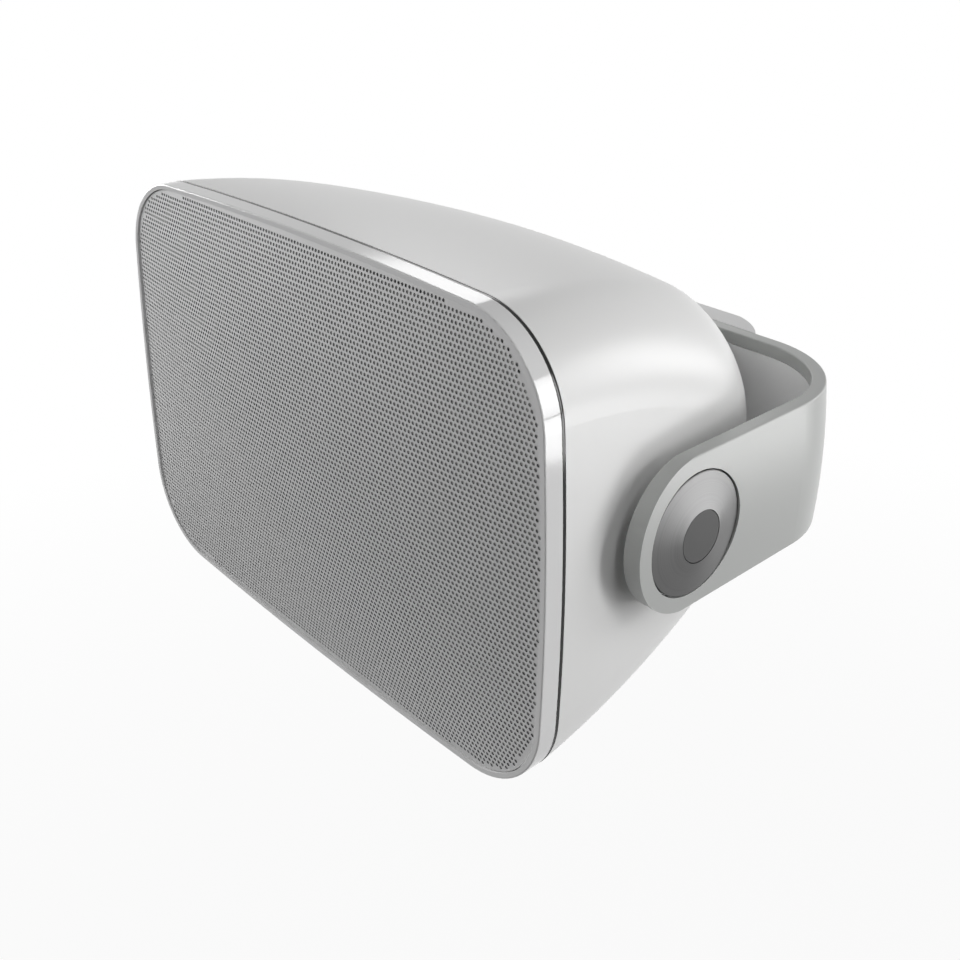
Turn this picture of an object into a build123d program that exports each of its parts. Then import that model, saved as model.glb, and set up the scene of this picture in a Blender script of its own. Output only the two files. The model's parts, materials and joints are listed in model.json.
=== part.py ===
"""Weatherproof outdoor loudspeaker that tilts in a U-shaped wall yoke.

A moulded cabinet with a bullet-shaped back is closed by a front baffle, which carries a
bass/mid driver, a dome tweeter and a passive bass radiator behind a perforated grille. The
cabinet turns in the yoke on two clamped pivots, and the yoke is screwed to a wall plate.

Millimetres. The origin is the middle of the wall face, at the height of the tilt axis. X runs
along the speaker, Y from the listener to the wall (so the wall is y = 0), and Z is up.
Depths are counted from the front face towards the wall.
"""

import os
from math import cos, radians, sin, sqrt

from build123d import *

os.makedirs("parts", exist_ok=True)

# Front outline: a rectangle of four shallow arcs with round corners
front_width = 276.0
front_height = 191.0
front_corner_radius = 38.6
side_bulge = 4.4  # how far the left and right edges bow out
top_bulge = 3.8  # how far the top and bottom edges bow out

# Tilt axis
pivot_depth = 68.0  # behind the front face

# Front baffle and grille
rim_depth = 7.9  # the glossy band around the front
flange_width = 2.2  # flat edge around the grille
grille_recess = 1.0
grille_thickness = 0.8
grille_dome = 9.3  # how far its middle stands out over its edge
grille_return = 2.6  # length of the grille's folded edge
grille_clearance = 0.15
ledge_width = 5.1  # ring under the grille, inside the flange
baffle_depth = 8.0  # front of the plate that holds the drivers
baffle_thickness = 7.0
spigot_clearance = 0.3
front_edge_radius = 0.6

# Seal between baffle and cabinet, seen as a dark line
seal_thickness = 1.6
seal_inset = 1.8

# Cabinet shell
cabinet_wall = 4.0
cabinet_apex_depth = 168.3  # where the rounded back would end
rear_flat_cut = 2.3  # the back is flat this far before that
back_radius = 78.2  # rounding of the back in side view
back_join_angle = 67.0  # where the top's long arc takes over
end_radius = 67.7  # rounding of the back in plan view
end_taper = 0.092  # the ends close in by this much per mm of depth
rear_corner_radius = 56.6
corner_growth = 2.33  # power by which the corners round off towards the back
rear_top_bulge = 18.8  # the top's bow at the back, before it flattens with the height
corner_share = 0.93  # the largest corner, as a share of the straight side
section_shares = (0.1, 0.24, 0.4, 0.56, 0.7, 0.82, 0.9, 0.96)  # where the loft is held

# Baffle screws and their bosses
boss_radius = 5.0
boss_length = 22.0
boss_web = 6.0
screw_radius = 1.75
screw_head_radius = 3.4
screw_head_height = 2.2
screw_clearance = 0.25
corner_screw_inset_x = 22.0  # from the front's outline
corner_screw_inset_z = 21.0
edge_screw_inset = 13.0
top_screw_x = 52.0

# Bass/mid driver and passive radiator, side by side; the tweeter sits above the gap
driver_gap = 8.0  # between the two frames
driver_end_margin = 2.7  # from a frame to the end of the baffle's opening
driver_foot_margin = 2.5  # and to its lower edge
driver_clearance = 0.3
driver_screw_count = 4
frame_thickness = 3.0
frame_lap = 7.0  # part of the frame that lies on the baffle
frame_land = 6.4  # flat ring that takes the screws
seat_width = 4.5  # ring that the roll's edge is glued to
seat_clearance = 0.4
roll_land = 3.6  # flat outer edge of the roll
roll_radius = 4.6
roll_thickness = 0.9
cone_lap = 0.8  # from the roll to the cone
cone_gap = 0.4
cone_wall = 1.2  # along the axis
cone_rim_depth = 2.0
cone_neck_depth = 21.0
cone_bow = 1.8  # how far the flare dips below a straight line
cone_travel = 3.0  # each way
dust_cap_lap = 3.3
dust_cap_height = 9.5
dust_cap_thickness = 0.8
dust_cap_seat = 0.15
coil_radius = 12.6
former_thickness = 0.5
former_reach = 2.0  # how far the coil's former enters the cone
winding_thickness = 0.7
winding_length = 11.0
magnet_gap = 0.5
spider_gap = 0.4
spider_thickness = 0.6
spider_wave = 1.6
spider_wave_count = 8
spider_clearance = 1.3  # to the cone at the end of its travel
spider_bore = 30.0
spider_seat_width = 4.0
basket_wall = 2.4
basket_foot = 10.5  # from the spider to the magnet
basket_window_count = 6
window_width = 26.0
window_length = 13.0
motor_radius = 36.0
motor_bore_gap = 6.0
top_plate_thickness = 5.0
magnet_radius = 38.0
magnet_bore = 19.0
magnet_thickness = 14.0
back_plate_thickness = 5.0
radiator_lip = 2.0  # how far the radiator's frame stands behind the baffle
dish_radius = 16.0
dish_depth = 6.2
weight_radius = 13.0
weight_thickness = 5.0

# Tweeter
tweeter_top_margin = 3.0  # to the upper edge of the baffle's opening
tweeter_radius = 26.0
tweeter_plate_thickness = 3.0
tweeter_screw_count = 4
dome_radius = 12.5
dome_height = 4.5
dome_thickness = 0.4
dome_gap = 1.2
flare_lip = 1.0
flare_drop = 0.6
flare_width = 2.0
tweeter_motor_radius = 17.0
tweeter_motor_length = 20.0

# Terminal cup, its cover and the crossover board on its back
cup_length = 62.0
cup_height = 24.0
cup_depth = 20.0
cup_wall = 2.0
cup_flange = 5.0
cup_flange_thickness = 2.0
cover_thickness = 2.0
cover_clearance = 0.2
gland_radius = 5.5
gland_flange = 1.0
gland_flange_thickness = 1.5
gland_bore = 2.4
gland_length = 7.0
post_spacing = 26.0
post_radius = 2.6
post_tail = 1.5
post_cap_radius = 5.0
post_cap_length = 9.0
post_cap_sides = 12
board_height = 46.0
board_thickness = 1.6
board_corner = 3.0
board_gap = 2.4  # from a post to a choke
choke_radius = 15.0
choke_height = 14.0
choke_bore = 6.0
capacitor_radius = 7.0
capacitor_length = 30.0
resistor_length = 12.0
resistor_width = 8.0

# Yoke: a U-shaped strap with a crowned outer face and full-round arm ends
yoke_half_height = 31.0
yoke_thickness = 6.0
yoke_crown = 1.5
yoke_corner_radius = 46.0
yoke_edge_radius = 0.7
arm_gap = 1.2  # from the front's widest point to the arm
swing_gap = 4.7  # from the rounded back to the yoke
lip_height = 5.5  # rim above and below the channel for the cover strip
channel_depth = 2.4
channel_start = 44.0  # behind the tilt axis
channel_overcut = 1.0
strip_clearance = 0.35

# Pivots
pad_radius = 20.0
pad_reach = 1.2  # gap between the pad and the arm
washer_gap = 0.3  # running gap at the arm
washer_bore = 7.0
washer_inset = 1.0
bush_radius = 9.0
shoulder_radius = 6.0
running_clearance = 0.05
disc_recess_depth = 3.7  # from the crest of the arm's face
disc_radius = 24.3
disc_gap = 0.6
disc_floor_gap = 0.3
disc_rim_height = 2.7
disc_chamfer = 0.3
disc_rise = 2.6
disc_hub = 1.3
bolt_head_radius = 8.6
bolt_thread_radius = 4.0
bolt_thread_length = 16.0
cap_radius = 10.2
cap_thickness = 1.0
cap_clearance = 0.2
cap_seat_gap = 0.1
cap_edge = 0.2
insert_radius = 6.5
insert_length = 20.0
hub_radius = 13.0

# Wall plate behind the yoke
plate_depth = 12.0  # from the wall to the edge of the yoke's back
plate_foot_half_width = 70.0  # at the wall
plate_head_half_width = 87.5  # at the yoke
plate_side_bow = 1.7
plate_wall = 3.0
plate_floor = 3.5
wall_hole_spacing_x = 96.0
wall_hole_spacing_z = 36.0
wall_hole_radius = 2.75
wall_boss_radius = 7.0
wall_boss_height = 5.0
joint_screw_spacing = 52.0
joint_screw_radius = 2.5
joint_screw_head_radius = 5.0
joint_screw_length = 13.0
joint_boss_radius = 7.5

# Derived places, from the front to the wall
cabinet_front = rim_depth + seal_thickness
cabinet_rear = cabinet_apex_depth - rear_flat_cut
baffle_back = baffle_depth + baffle_thickness
grille_back = grille_recess + grille_thickness
grille_fold = grille_recess + grille_thickness / 4  # where the folded edge meets the sheet
opening_inset = flange_width + ledge_width
yoke_back_depth = cabinet_apex_depth + swing_gap + yoke_thickness
front_to_wall = yoke_back_depth + plate_depth
yoke_back_y = -plate_depth
pivot_to_wall = front_to_wall - pivot_depth
pivot_y = -pivot_to_wall
pivot_axis = Axis((0, pivot_y, 0), (1, 0, 0))

# Derived places, from the middle to the end
yoke_inner = front_width / 2 + arm_gap
yoke_half_width = yoke_inner + yoke_thickness
pad_face = yoke_inner - pad_reach
disc_floor = yoke_half_width + yoke_crown - disc_recess_depth
disc_back = disc_floor + disc_floor_gap
disc_rim = disc_back + disc_rim_height
disc_face = disc_rim + disc_rise
cap_seat = disc_face - cap_thickness
head_seat = disc_back + disc_hub
head_top = cap_seat - cap_seat_gap

# Derived places on the baffle
frame_radius = (front_width / 2 - opening_inset - driver_end_margin - driver_gap / 2) / 2
driver_x = frame_radius + driver_gap / 2
driver_z = frame_radius + driver_foot_margin + opening_inset - front_height / 2
tweeter_z = front_height / 2 - opening_inset - tweeter_top_margin - tweeter_radius
frame_bore = frame_radius - frame_lap
corner_screw_x = front_width / 2 - corner_screw_inset_x
corner_screw_z = front_height / 2 - corner_screw_inset_z
edge_screw_z = front_height / 2 - edge_screw_inset


def hand_in(builder, label):
    """Name a finished piece and write it to its own file."""
    builder.part.label = label
    export_step(builder.part, f"parts/{label}.step")


def front_plane(depth):
    """Plane parallel to the front face, so far behind it; its normal points at the listener."""
    return Plane.XZ.offset(front_to_wall - depth)


def bulged_outline(width, height, radius, side, top):
    """A rectangle of four shallow arcs with round corners."""
    x, z = width / 2 - side, height / 2 - top
    with BuildSketch() as outline:
        with BuildLine():
            ThreePointArc((-x, z), (0, height / 2), (x, z))
            ThreePointArc((x, z), (width / 2, 0), (x, -z))
            ThreePointArc((x, -z), (0, -height / 2), (-x, -z))
            ThreePointArc((-x, -z), (-width / 2, 0), (-x, z))
        make_face()
        fillet(outline.vertices(), radius)
    return outline.sketch


def front_outline(inset=0.0):
    """The front outline, moved inwards by inset."""
    return bulged_outline(
        front_width - 2 * inset,
        front_height - 2 * inset,
        front_corner_radius - inset,
        side_bulge,
        top_bulge,
    )


def front_ring(depth, thickness, outer_inset, inner_inset, mode=Mode.ADD):
    """Extrude a ring that follows the front outline, from depth towards the wall."""
    with BuildSketch(front_plane(depth)) as ring:
        add(front_outline(outer_inset))
        add(front_outline(inner_inset), mode=Mode.SUBTRACT)
    extrude(ring.sketch, amount=-thickness, mode=mode)


# Side view of the cabinet: the back is an arc about back_centre, and a long arc that is
# tangent to it runs over the top to the front edge.
back_centre = cabinet_apex_depth - back_radius
join_depth = back_centre + back_radius * cos(radians(back_join_angle))
join_height = back_radius * sin(radians(back_join_angle))
chord_depth = cabinet_front - join_depth
chord_height = front_height / 2 - join_height
top_radius = -(chord_depth**2 + chord_height**2) / (
    2 * (chord_depth * cos(radians(back_join_angle)) + chord_height * sin(radians(back_join_angle)))
)
top_centre_depth = join_depth - top_radius * cos(radians(back_join_angle))
top_centre_height = join_height - top_radius * sin(radians(back_join_angle))


def cabinet_half_height(depth, inset):
    """Half the cabinet's height at a depth, for a skin moved inwards by inset."""
    reach = back_radius - inset
    if depth > back_centre + reach * cos(radians(back_join_angle)):
        return sqrt(reach**2 - (depth - back_centre) ** 2)
    return top_centre_height + sqrt((top_radius - inset) ** 2 - (depth - top_centre_depth) ** 2)


def cabinet_half_width(depth, inset):
    """Half the cabinet's width at a depth: a slight taper, then the rounding of the back."""
    reach = end_radius - inset
    turn = max(depth - (cabinet_apex_depth - end_radius), 0.0)
    taper = end_taper * (depth - cabinet_front)
    return front_width / 2 - inset - taper - (reach - sqrt(reach**2 - turn**2))


def cabinet_section(depth, inset):
    """The cabinet's cross-section at a depth."""
    share = (depth - cabinet_front) / (cabinet_apex_depth - cabinet_front)
    half_height = cabinet_half_height(depth, inset)
    half_width = cabinet_half_width(depth, inset)
    flatness = half_height / (front_height / 2)
    top = (top_bulge + (rear_top_bulge - top_bulge) * share) * flatness
    side = side_bulge * (1 - share) * flatness**2
    radius = front_corner_radius + (rear_corner_radius - front_corner_radius) * share**corner_growth
    return bulged_outline(
        2 * half_width,
        2 * half_height,
        min(radius - inset, corner_share * (half_height - top)),
        side,
        top,
    )


def cabinet_skin(inset, mode):
    """Loft the cabinet's outside, or its hollow, through its cross-sections."""
    rear = cabinet_rear - inset
    held = [baffle_back + share * (rear - baffle_back) for share in section_shares]
    sections = []
    for depth in (cabinet_front, baffle_back, *held, rear):
        with BuildSketch(front_plane(depth)) as section:
            add(cabinet_section(depth, inset))
        sections.append(section.sketch)
    loft(sections, mode=mode)


boss_places = [
    (corner_screw_x, corner_screw_z),
    (-corner_screw_x, corner_screw_z),
    (corner_screw_x, -corner_screw_z),
    (-corner_screw_x, -corner_screw_z),
    (top_screw_x, edge_screw_z),
    (-top_screw_x, edge_screw_z),
    (0, -edge_screw_z),
]
joint_screw_places = [(-joint_screw_spacing / 2, 0), (joint_screw_spacing / 2, 0)]

# Screw bosses with webs to the cabinet's top and bottom, ending inside its wall
with BuildPart() as boss_block:
    with BuildSketch(front_plane(baffle_back)):
        for x, z in boss_places:
            with Locations((x, z)):
                Circle(boss_radius)
            wall_z = front_height / 2 if z > 0 else -front_height / 2
            with Locations((x, (z + wall_z) / 2)):
                Rectangle(boss_web, abs(wall_z - z))
    extrude(amount=-boss_length)
    cabinet_skin(cabinet_wall / 2, Mode.INTERSECT)

# Cabinet: the lofted outside, less its hollow, with the bosses, the pivot pads and the opening
# for the terminal cup
with BuildPart() as cabinet_shell:
    cabinet_skin(0.0, Mode.ADD)
    cabinet_skin(cabinet_wall, Mode.SUBTRACT)
    add(boss_block.part)
    for side in (1, -1):
        with BuildSketch(Plane.YZ.offset(side * pad_face)):
            with Locations((pivot_y, 0)):
                Circle(pad_radius)
        extrude(amount=-side * (pad_face - cabinet_half_width(pivot_depth, cabinet_wall)))
        with BuildSketch(Plane.YZ.offset(side * pad_face)):
            with Locations((pivot_y, 0)):
                Circle(hub_radius)
        extrude(amount=-side * (insert_length + cabinet_wall))
        with BuildSketch(Plane.YZ.offset(side * pad_face)):
            with Locations((pivot_y, 0)):
                Circle(insert_radius)
        extrude(amount=-side * insert_length, mode=Mode.SUBTRACT)
    with BuildSketch(front_plane(cabinet_rear)):
        SlotOverall(cup_length + 2 * cover_clearance, cup_height + 2 * cover_clearance)
    extrude(amount=2 * cabinet_wall, mode=Mode.SUBTRACT)
    with BuildSketch(front_plane(baffle_back)):
        with Locations(*boss_places):
            Circle(screw_radius)
    extrude(amount=-(boss_length - cabinet_wall), mode=Mode.SUBTRACT)
hand_in(cabinet_shell, "cabinet_shell")

rim_land_radius = frame_radius - frame_land
rim_bore = rim_land_radius - seat_width
driver_screw_ring = (rim_land_radius + frame_radius) / 2
tweeter_screw_ring = (tweeter_motor_radius + flare_width + tweeter_radius) / 2

# Front baffle: the rim that is seen around the grille, the spigot that enters the cabinet and
# the plate with the driver openings
with BuildPart() as front_baffle:
    with BuildSketch(front_plane(0)):
        add(front_outline())
    extrude(amount=-rim_depth)
    fillet(front_baffle.faces().sort_by(Axis.Y)[0].edges(), front_edge_radius)
    with BuildSketch(front_plane(rim_depth)):
        add(cabinet_section(baffle_back, cabinet_wall + spigot_clearance))
    extrude(amount=-(baffle_back - rim_depth))
    with BuildSketch(front_plane(0)):
        add(front_outline(flange_width))
    extrude(amount=-grille_back, mode=Mode.SUBTRACT)
    front_ring(
        grille_back,
        grille_return + grille_clearance,
        flange_width,
        flange_width + grille_thickness + 2 * grille_clearance,
        Mode.SUBTRACT,
    )
    with BuildSketch(front_plane(0)):
        add(front_outline(opening_inset))
    extrude(amount=-baffle_depth, mode=Mode.SUBTRACT)
    with BuildSketch(front_plane(baffle_depth)):
        with Locations((-driver_x, driver_z), (driver_x, driver_z)):
            Circle(frame_radius + driver_clearance)
        with Locations((0, tweeter_z)):
            Circle(tweeter_radius + driver_clearance)
    extrude(amount=-frame_thickness, mode=Mode.SUBTRACT)
    with BuildSketch(front_plane(baffle_depth)):
        with Locations((-driver_x, driver_z), (driver_x, driver_z)):
            Circle(frame_bore + driver_clearance)
            with PolarLocations(driver_screw_ring, driver_screw_count, 45):
                Circle(screw_radius)
        with Locations((0, tweeter_z)):
            Circle(tweeter_motor_radius + driver_clearance)
            with PolarLocations(tweeter_screw_ring, tweeter_screw_count, 45):
                Circle(screw_radius)
        with Locations(*boss_places):
            Circle(screw_radius + screw_clearance)
    extrude(amount=-baffle_thickness, mode=Mode.SUBTRACT)
hand_in(front_baffle, "front_baffle")

# Grille: a steel sheet pressed into a shallow pillow, with its edge folded back into the baffle's
# groove. Lengthwise and upright the pillow falls away as a parabola, so it is one surface patch
# of three by three points with only the middle one pulled out, by four times the height.
grille_inset = flange_width + grille_clearance
sheet_y = grille_recess - front_to_wall
sheet_points = [
    [
        (x, sheet_y - (4 * grille_dome if x == z == 0 else 0), z)
        for z in (grille_inset - front_height / 2, 0, front_height / 2 - grille_inset)
    ]
    for x in (grille_inset - front_width / 2, 0, front_width / 2 - grille_inset)
]
with BuildPart() as grille:
    extrude(Face.make_bezier_surface(sheet_points), amount=grille_thickness, dir=(0, 1, 0))
    with BuildSketch(front_plane(grille_back)):
        add(front_outline(grille_inset))
    extrude(amount=2 * grille_dome + grille_thickness, mode=Mode.INTERSECT)
    front_ring(
        grille_fold,
        grille_back + grille_return - grille_fold,
        grille_inset,
        grille_inset + grille_thickness,
    )
hand_in(grille, "grille")

# Seal: a rubber ring around the spigot, between the baffle's rim and the cabinet's edge
with BuildPart() as cabinet_seal:
    with BuildSketch(front_plane(rim_depth)):
        add(front_outline(seal_inset))
        add(cabinet_section(baffle_back, cabinet_wall), mode=Mode.SUBTRACT)
    extrude(amount=-seal_thickness)
hand_in(cabinet_seal, "cabinet_seal")


def pan_screws(places, depth, length):
    """Pan-head screws driven from the front, one at each place, heads seated at depth."""
    with BuildSketch(front_plane(depth)) as heads:
        with Locations(*places):
            Circle(screw_head_radius)
    extrude(heads.sketch, amount=screw_head_height)
    with BuildSketch(front_plane(depth)) as shanks:
        with Locations(*places):
            Circle(screw_radius)
    extrude(shanks.sketch, amount=-length)


def around(x, z, radius, count):
    """Places of count screws on a circle about (x, z), the first at 45 degrees."""
    angles = [radians(45 + 360 * k / count) for k in range(count)]
    return [(x + radius * cos(a), z + radius * sin(a)) for a in angles]


with BuildPart() as baffle_screws:
    pan_screws(boss_places, baffle_depth, baffle_thickness + boss_length / 2)
hand_in(baffle_screws, "baffle_screws")


def turned(x, z, points):
    """Revolve a closed profile of (radius, depth behind the baffle's face) about a driver's axis."""
    place = Plane(origin=(x, baffle_depth - front_to_wall, z), x_dir=(1, 0, 0), z_dir=(0, 0, 1))
    with BuildSketch(place) as profile:
        with BuildLine():
            Polyline(*points, close=True)
        make_face()
    revolve(profile.sketch, axis=Axis(place.origin, (0, 1, 0)))


def half_roll(x, z, centre_radius, inner_land, outer_land):
    """Revolve a half-round rubber roll with flat lands, standing proud towards the listener."""
    place = Plane(origin=(x, baffle_depth - front_to_wall, z), x_dir=(1, 0, 0), z_dir=(0, 0, 1))
    out, back = roll_radius, roll_radius - roll_thickness
    seat = cone_rim_depth
    with BuildSketch(place) as profile:
        with BuildLine():
            Line((inner_land, seat - roll_thickness), (centre_radius - out, seat - roll_thickness))
            ThreePointArc(
                (centre_radius - out, seat - roll_thickness),
                (centre_radius, seat - roll_thickness - out),
                (centre_radius + out, seat - roll_thickness),
            )
            Line((centre_radius + out, seat - roll_thickness), (outer_land, seat - roll_thickness))
            Line((outer_land, seat - roll_thickness), (outer_land, seat))
            Line((outer_land, seat), (centre_radius + back, seat))
            Line((centre_radius + back, seat), (centre_radius + back, seat - roll_thickness))
            ThreePointArc(
                (centre_radius + back, seat - roll_thickness),
                (centre_radius, seat - roll_thickness - back),
                (centre_radius - back, seat - roll_thickness),
            )
            Line((centre_radius - back, seat - roll_thickness), (centre_radius - back, seat))
            Line((centre_radius - back, seat), (inner_land, seat))
            Line((inner_land, seat), (inner_land, seat - roll_thickness))
        make_face()
    revolve(profile.sketch, axis=Axis(place.origin, (0, 1, 0)))


def domed(x, z, base_depth, radius, height, thickness):
    """Revolve a thin spherical dome that stands towards the listener from its base."""
    place = Plane(origin=(x, base_depth - front_to_wall, z), x_dir=(1, 0, 0), z_dir=(0, 0, 1))
    sphere = (radius**2 + height**2) / (2 * height)
    inner, centre = sphere - thickness, sphere - height
    inner_foot = sqrt(inner**2 - centre**2)
    mid = radians(70)
    with BuildSketch(place) as profile:
        with BuildLine():
            ThreePointArc((0, -height), (sphere * cos(mid), centre - sphere * sin(mid)), (radius, 0))
            Line((radius, 0), (inner_foot, 0))
            ThreePointArc(
                (inner_foot, 0),
                (inner * cos(mid), centre - inner * sin(mid)),
                (0, thickness - height),
            )
            Line((0, thickness - height), (0, -height))
        make_face()
    revolve(profile.sketch, axis=Axis(place.origin, (0, 1, 0)))


roll_centre = rim_land_radius - roll_land - roll_radius
cone_radius = roll_centre - roll_radius - cone_lap
roll_inner = cone_radius + cone_gap
roll_outer = rim_land_radius - seat_clearance
neck_radius = coil_radius + former_thickness
spider_depth = cone_neck_depth + cone_travel + spider_clearance + spider_wave + spider_thickness
basket_depth = spider_depth + basket_foot
spider_outer = spider_bore + spider_seat_width

# Bass/mid driver, from the frame back to the magnet
with BuildPart() as woofer_basket:
    turned(
        -driver_x,
        driver_z,
        [
            (rim_bore, cone_rim_depth),
            (rim_land_radius, cone_rim_depth),
            (rim_land_radius, 0),
            (frame_radius, 0),
            (frame_radius, frame_thickness),
            (frame_bore, frame_thickness),
            (spider_outer + basket_wall / 2, spider_depth + basket_wall),
            (motor_radius, basket_depth),
            (coil_radius + motor_bore_gap, basket_depth),
            (coil_radius + motor_bore_gap, basket_depth - basket_wall),
            (spider_bore, basket_depth - basket_wall),
            (spider_bore, spider_depth),
            (spider_outer, spider_depth),
            (rim_bore, frame_thickness + basket_wall),
        ],
    )
    with BuildSketch(front_plane(baffle_depth + frame_thickness + basket_wall)):
        with Locations((-driver_x, driver_z)):
            with PolarLocations((frame_bore + spider_outer) / 2, basket_window_count):
                Rectangle(window_length, window_width)
    extrude(amount=-(spider_depth - frame_thickness - 2 * basket_wall), mode=Mode.SUBTRACT)
    with BuildSketch(front_plane(baffle_depth)):
        with Locations((-driver_x, driver_z)):
            with PolarLocations(driver_screw_ring, driver_screw_count, 45):
                Circle(screw_radius + screw_clearance)
    extrude(amount=-frame_thickness, mode=Mode.SUBTRACT)
hand_in(woofer_basket, "woofer_basket")

with BuildPart() as woofer_surround:
    half_roll(-driver_x, driver_z, roll_centre, roll_inner, roll_outer)
hand_in(woofer_surround, "woofer_surround")

flare_radius = (cone_radius + neck_radius) / 2
flare_depth = (cone_rim_depth + cone_neck_depth) / 2 + cone_bow
with BuildPart() as woofer_cone:
    turned(
        -driver_x,
        driver_z,
        [
            (cone_radius, cone_rim_depth - cone_wall),
            (cone_radius, cone_rim_depth),
            (flare_radius, flare_depth),
            (neck_radius + cone_wall, cone_neck_depth),
            (neck_radius, cone_neck_depth),
            (neck_radius, cone_neck_depth - cone_wall),
            (flare_radius, flare_depth - cone_wall),
        ],
    )
hand_in(woofer_cone, "woofer_cone")

cone_slope = (cone_neck_depth - flare_depth) / (flare_radius - neck_radius)
dust_cap_depth = cone_neck_depth - cone_wall - dust_cap_lap * cone_slope - dust_cap_seat
with BuildPart() as woofer_dust_cap:
    domed(
        -driver_x,
        driver_z,
        baffle_depth + dust_cap_depth,
        neck_radius + dust_cap_lap,
        dust_cap_height,
        dust_cap_thickness,
    )
hand_in(woofer_dust_cap, "woofer_dust_cap")

top_plate_depth = basket_depth
winding_depth = top_plate_depth + top_plate_thickness / 2 - winding_length / 2
with BuildPart() as woofer_voice_coil:
    turned(
        -driver_x,
        driver_z,
        [
            (coil_radius, cone_neck_depth - former_reach),
            (neck_radius, cone_neck_depth - former_reach),
            (neck_radius, winding_depth),
            (neck_radius + winding_thickness, winding_depth),
            (neck_radius + winding_thickness, winding_depth + winding_length),
            (coil_radius, winding_depth + winding_length),
        ],
    )
hand_in(woofer_voice_coil, "woofer_voice_coil")

spider_inner = neck_radius + spider_gap
spider_edge = spider_outer - seat_clearance
wave_length = (spider_edge - spider_inner) / spider_wave_count
spider_face = spider_depth - spider_thickness
with BuildPart() as woofer_spider:
    crests = [spider_face - (spider_wave if k % 2 else 0) for k in range(spider_wave_count)]
    upper = [(spider_inner + wave_length * k, depth) for k, depth in enumerate(crests)]
    lower = [(radius, depth + spider_thickness) for radius, depth in reversed(upper)]
    edge = [(spider_edge, spider_face), (spider_edge, spider_depth)]
    turned(-driver_x, driver_z, upper + edge + lower)
hand_in(woofer_spider, "woofer_spider")

plate_bore = neck_radius + winding_thickness + magnet_gap
with BuildPart() as woofer_top_plate:
    turned(
        -driver_x,
        driver_z,
        [
            (plate_bore, top_plate_depth),
            (motor_radius, top_plate_depth),
            (motor_radius, top_plate_depth + top_plate_thickness),
            (plate_bore, top_plate_depth + top_plate_thickness),
        ],
    )
hand_in(woofer_top_plate, "woofer_top_plate")

magnet_depth = top_plate_depth + top_plate_thickness
with BuildPart() as woofer_magnet:
    turned(
        -driver_x,
        driver_z,
        [
            (magnet_bore, magnet_depth),
            (magnet_radius, magnet_depth),
            (magnet_radius, magnet_depth + magnet_thickness),
            (magnet_bore, magnet_depth + magnet_thickness),
        ],
    )
hand_in(woofer_magnet, "woofer_magnet")

back_plate_depth = magnet_depth + magnet_thickness
pole_radius = coil_radius - magnet_gap
with BuildPart() as woofer_back_plate:
    turned(
        -driver_x,
        driver_z,
        [
            (0, top_plate_depth),
            (pole_radius, top_plate_depth),
            (pole_radius, back_plate_depth),
            (motor_radius, back_plate_depth),
            (motor_radius, back_plate_depth + back_plate_thickness),
            (0, back_plate_depth + back_plate_thickness),
        ],
    )
hand_in(woofer_back_plate, "woofer_back_plate")

with BuildPart() as woofer_screws:
    pan_screws(
        around(-driver_x, driver_z, driver_screw_ring, driver_screw_count),
        baffle_depth,
        baffle_thickness,
    )
hand_in(woofer_screws, "woofer_screws")

# Passive radiator: the same frame and roll with a weighted dished diaphragm and no motor
with BuildPart() as radiator_frame:
    turned(
        driver_x,
        driver_z,
        [
            (rim_bore, cone_rim_depth),
            (rim_land_radius, cone_rim_depth),
            (rim_land_radius, 0),
            (frame_radius, 0),
            (frame_radius, frame_thickness),
            (frame_bore, frame_thickness),
            (frame_bore, baffle_thickness + radiator_lip),
            (rim_bore, baffle_thickness + radiator_lip),
        ],
    )
    with BuildSketch(front_plane(baffle_depth)):
        with Locations((driver_x, driver_z)):
            with PolarLocations(driver_screw_ring, driver_screw_count, 45):
                Circle(screw_radius + screw_clearance)
    extrude(amount=-frame_thickness, mode=Mode.SUBTRACT)
hand_in(radiator_frame, "radiator_frame")

with BuildPart() as radiator_surround:
    half_roll(driver_x, driver_z, roll_centre, roll_inner, roll_outer)
hand_in(radiator_surround, "radiator_surround")

dish_rim = cone_radius - cone_wall
weight_depth = dish_depth + cone_wall
with BuildPart() as radiator_cone:
    turned(
        driver_x,
        driver_z,
        [
            (0, dish_depth),
            (dish_radius, dish_depth),
            (dish_rim, cone_rim_depth - cone_wall),
            (cone_radius, cone_rim_depth - cone_wall),
            (cone_radius, cone_rim_depth),
            (dish_rim, cone_rim_depth),
            (dish_radius, weight_depth),
            (0, weight_depth),
        ],
    )
hand_in(radiator_cone, "radiator_cone")

with BuildPart() as radiator_weight:
    turned(
        driver_x,
        driver_z,
        [
            (0, weight_depth),
            (weight_radius, weight_depth),
            (weight_radius, weight_depth + weight_thickness),
            (0, weight_depth + weight_thickness),
        ],
    )
hand_in(radiator_weight, "radiator_weight")

with BuildPart() as radiator_screws:
    pan_screws(
        around(driver_x, driver_z, driver_screw_ring, driver_screw_count),
        baffle_depth,
        baffle_thickness,
    )
hand_in(radiator_screws, "radiator_screws")

# Tweeter: a flared faceplate, an aluminium dome and a sealed magnet can
with BuildPart() as tweeter_faceplate:
    turned(
        0,
        tweeter_z,
        [
            (dome_radius + dome_gap, tweeter_plate_thickness - flare_lip),
            (tweeter_motor_radius, flare_drop),
            (tweeter_motor_radius + flare_width, 0),
            (tweeter_radius, 0),
            (tweeter_radius, tweeter_plate_thickness),
            (dome_radius + dome_gap, tweeter_plate_thickness),
        ],
    )
    with BuildSketch(front_plane(baffle_depth)):
        with Locations((0, tweeter_z)):
            with PolarLocations(tweeter_screw_ring, tweeter_screw_count, 45):
                Circle(screw_radius + screw_clearance)
    extrude(amount=-tweeter_plate_thickness, mode=Mode.SUBTRACT)
hand_in(tweeter_faceplate, "tweeter_faceplate")

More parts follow.
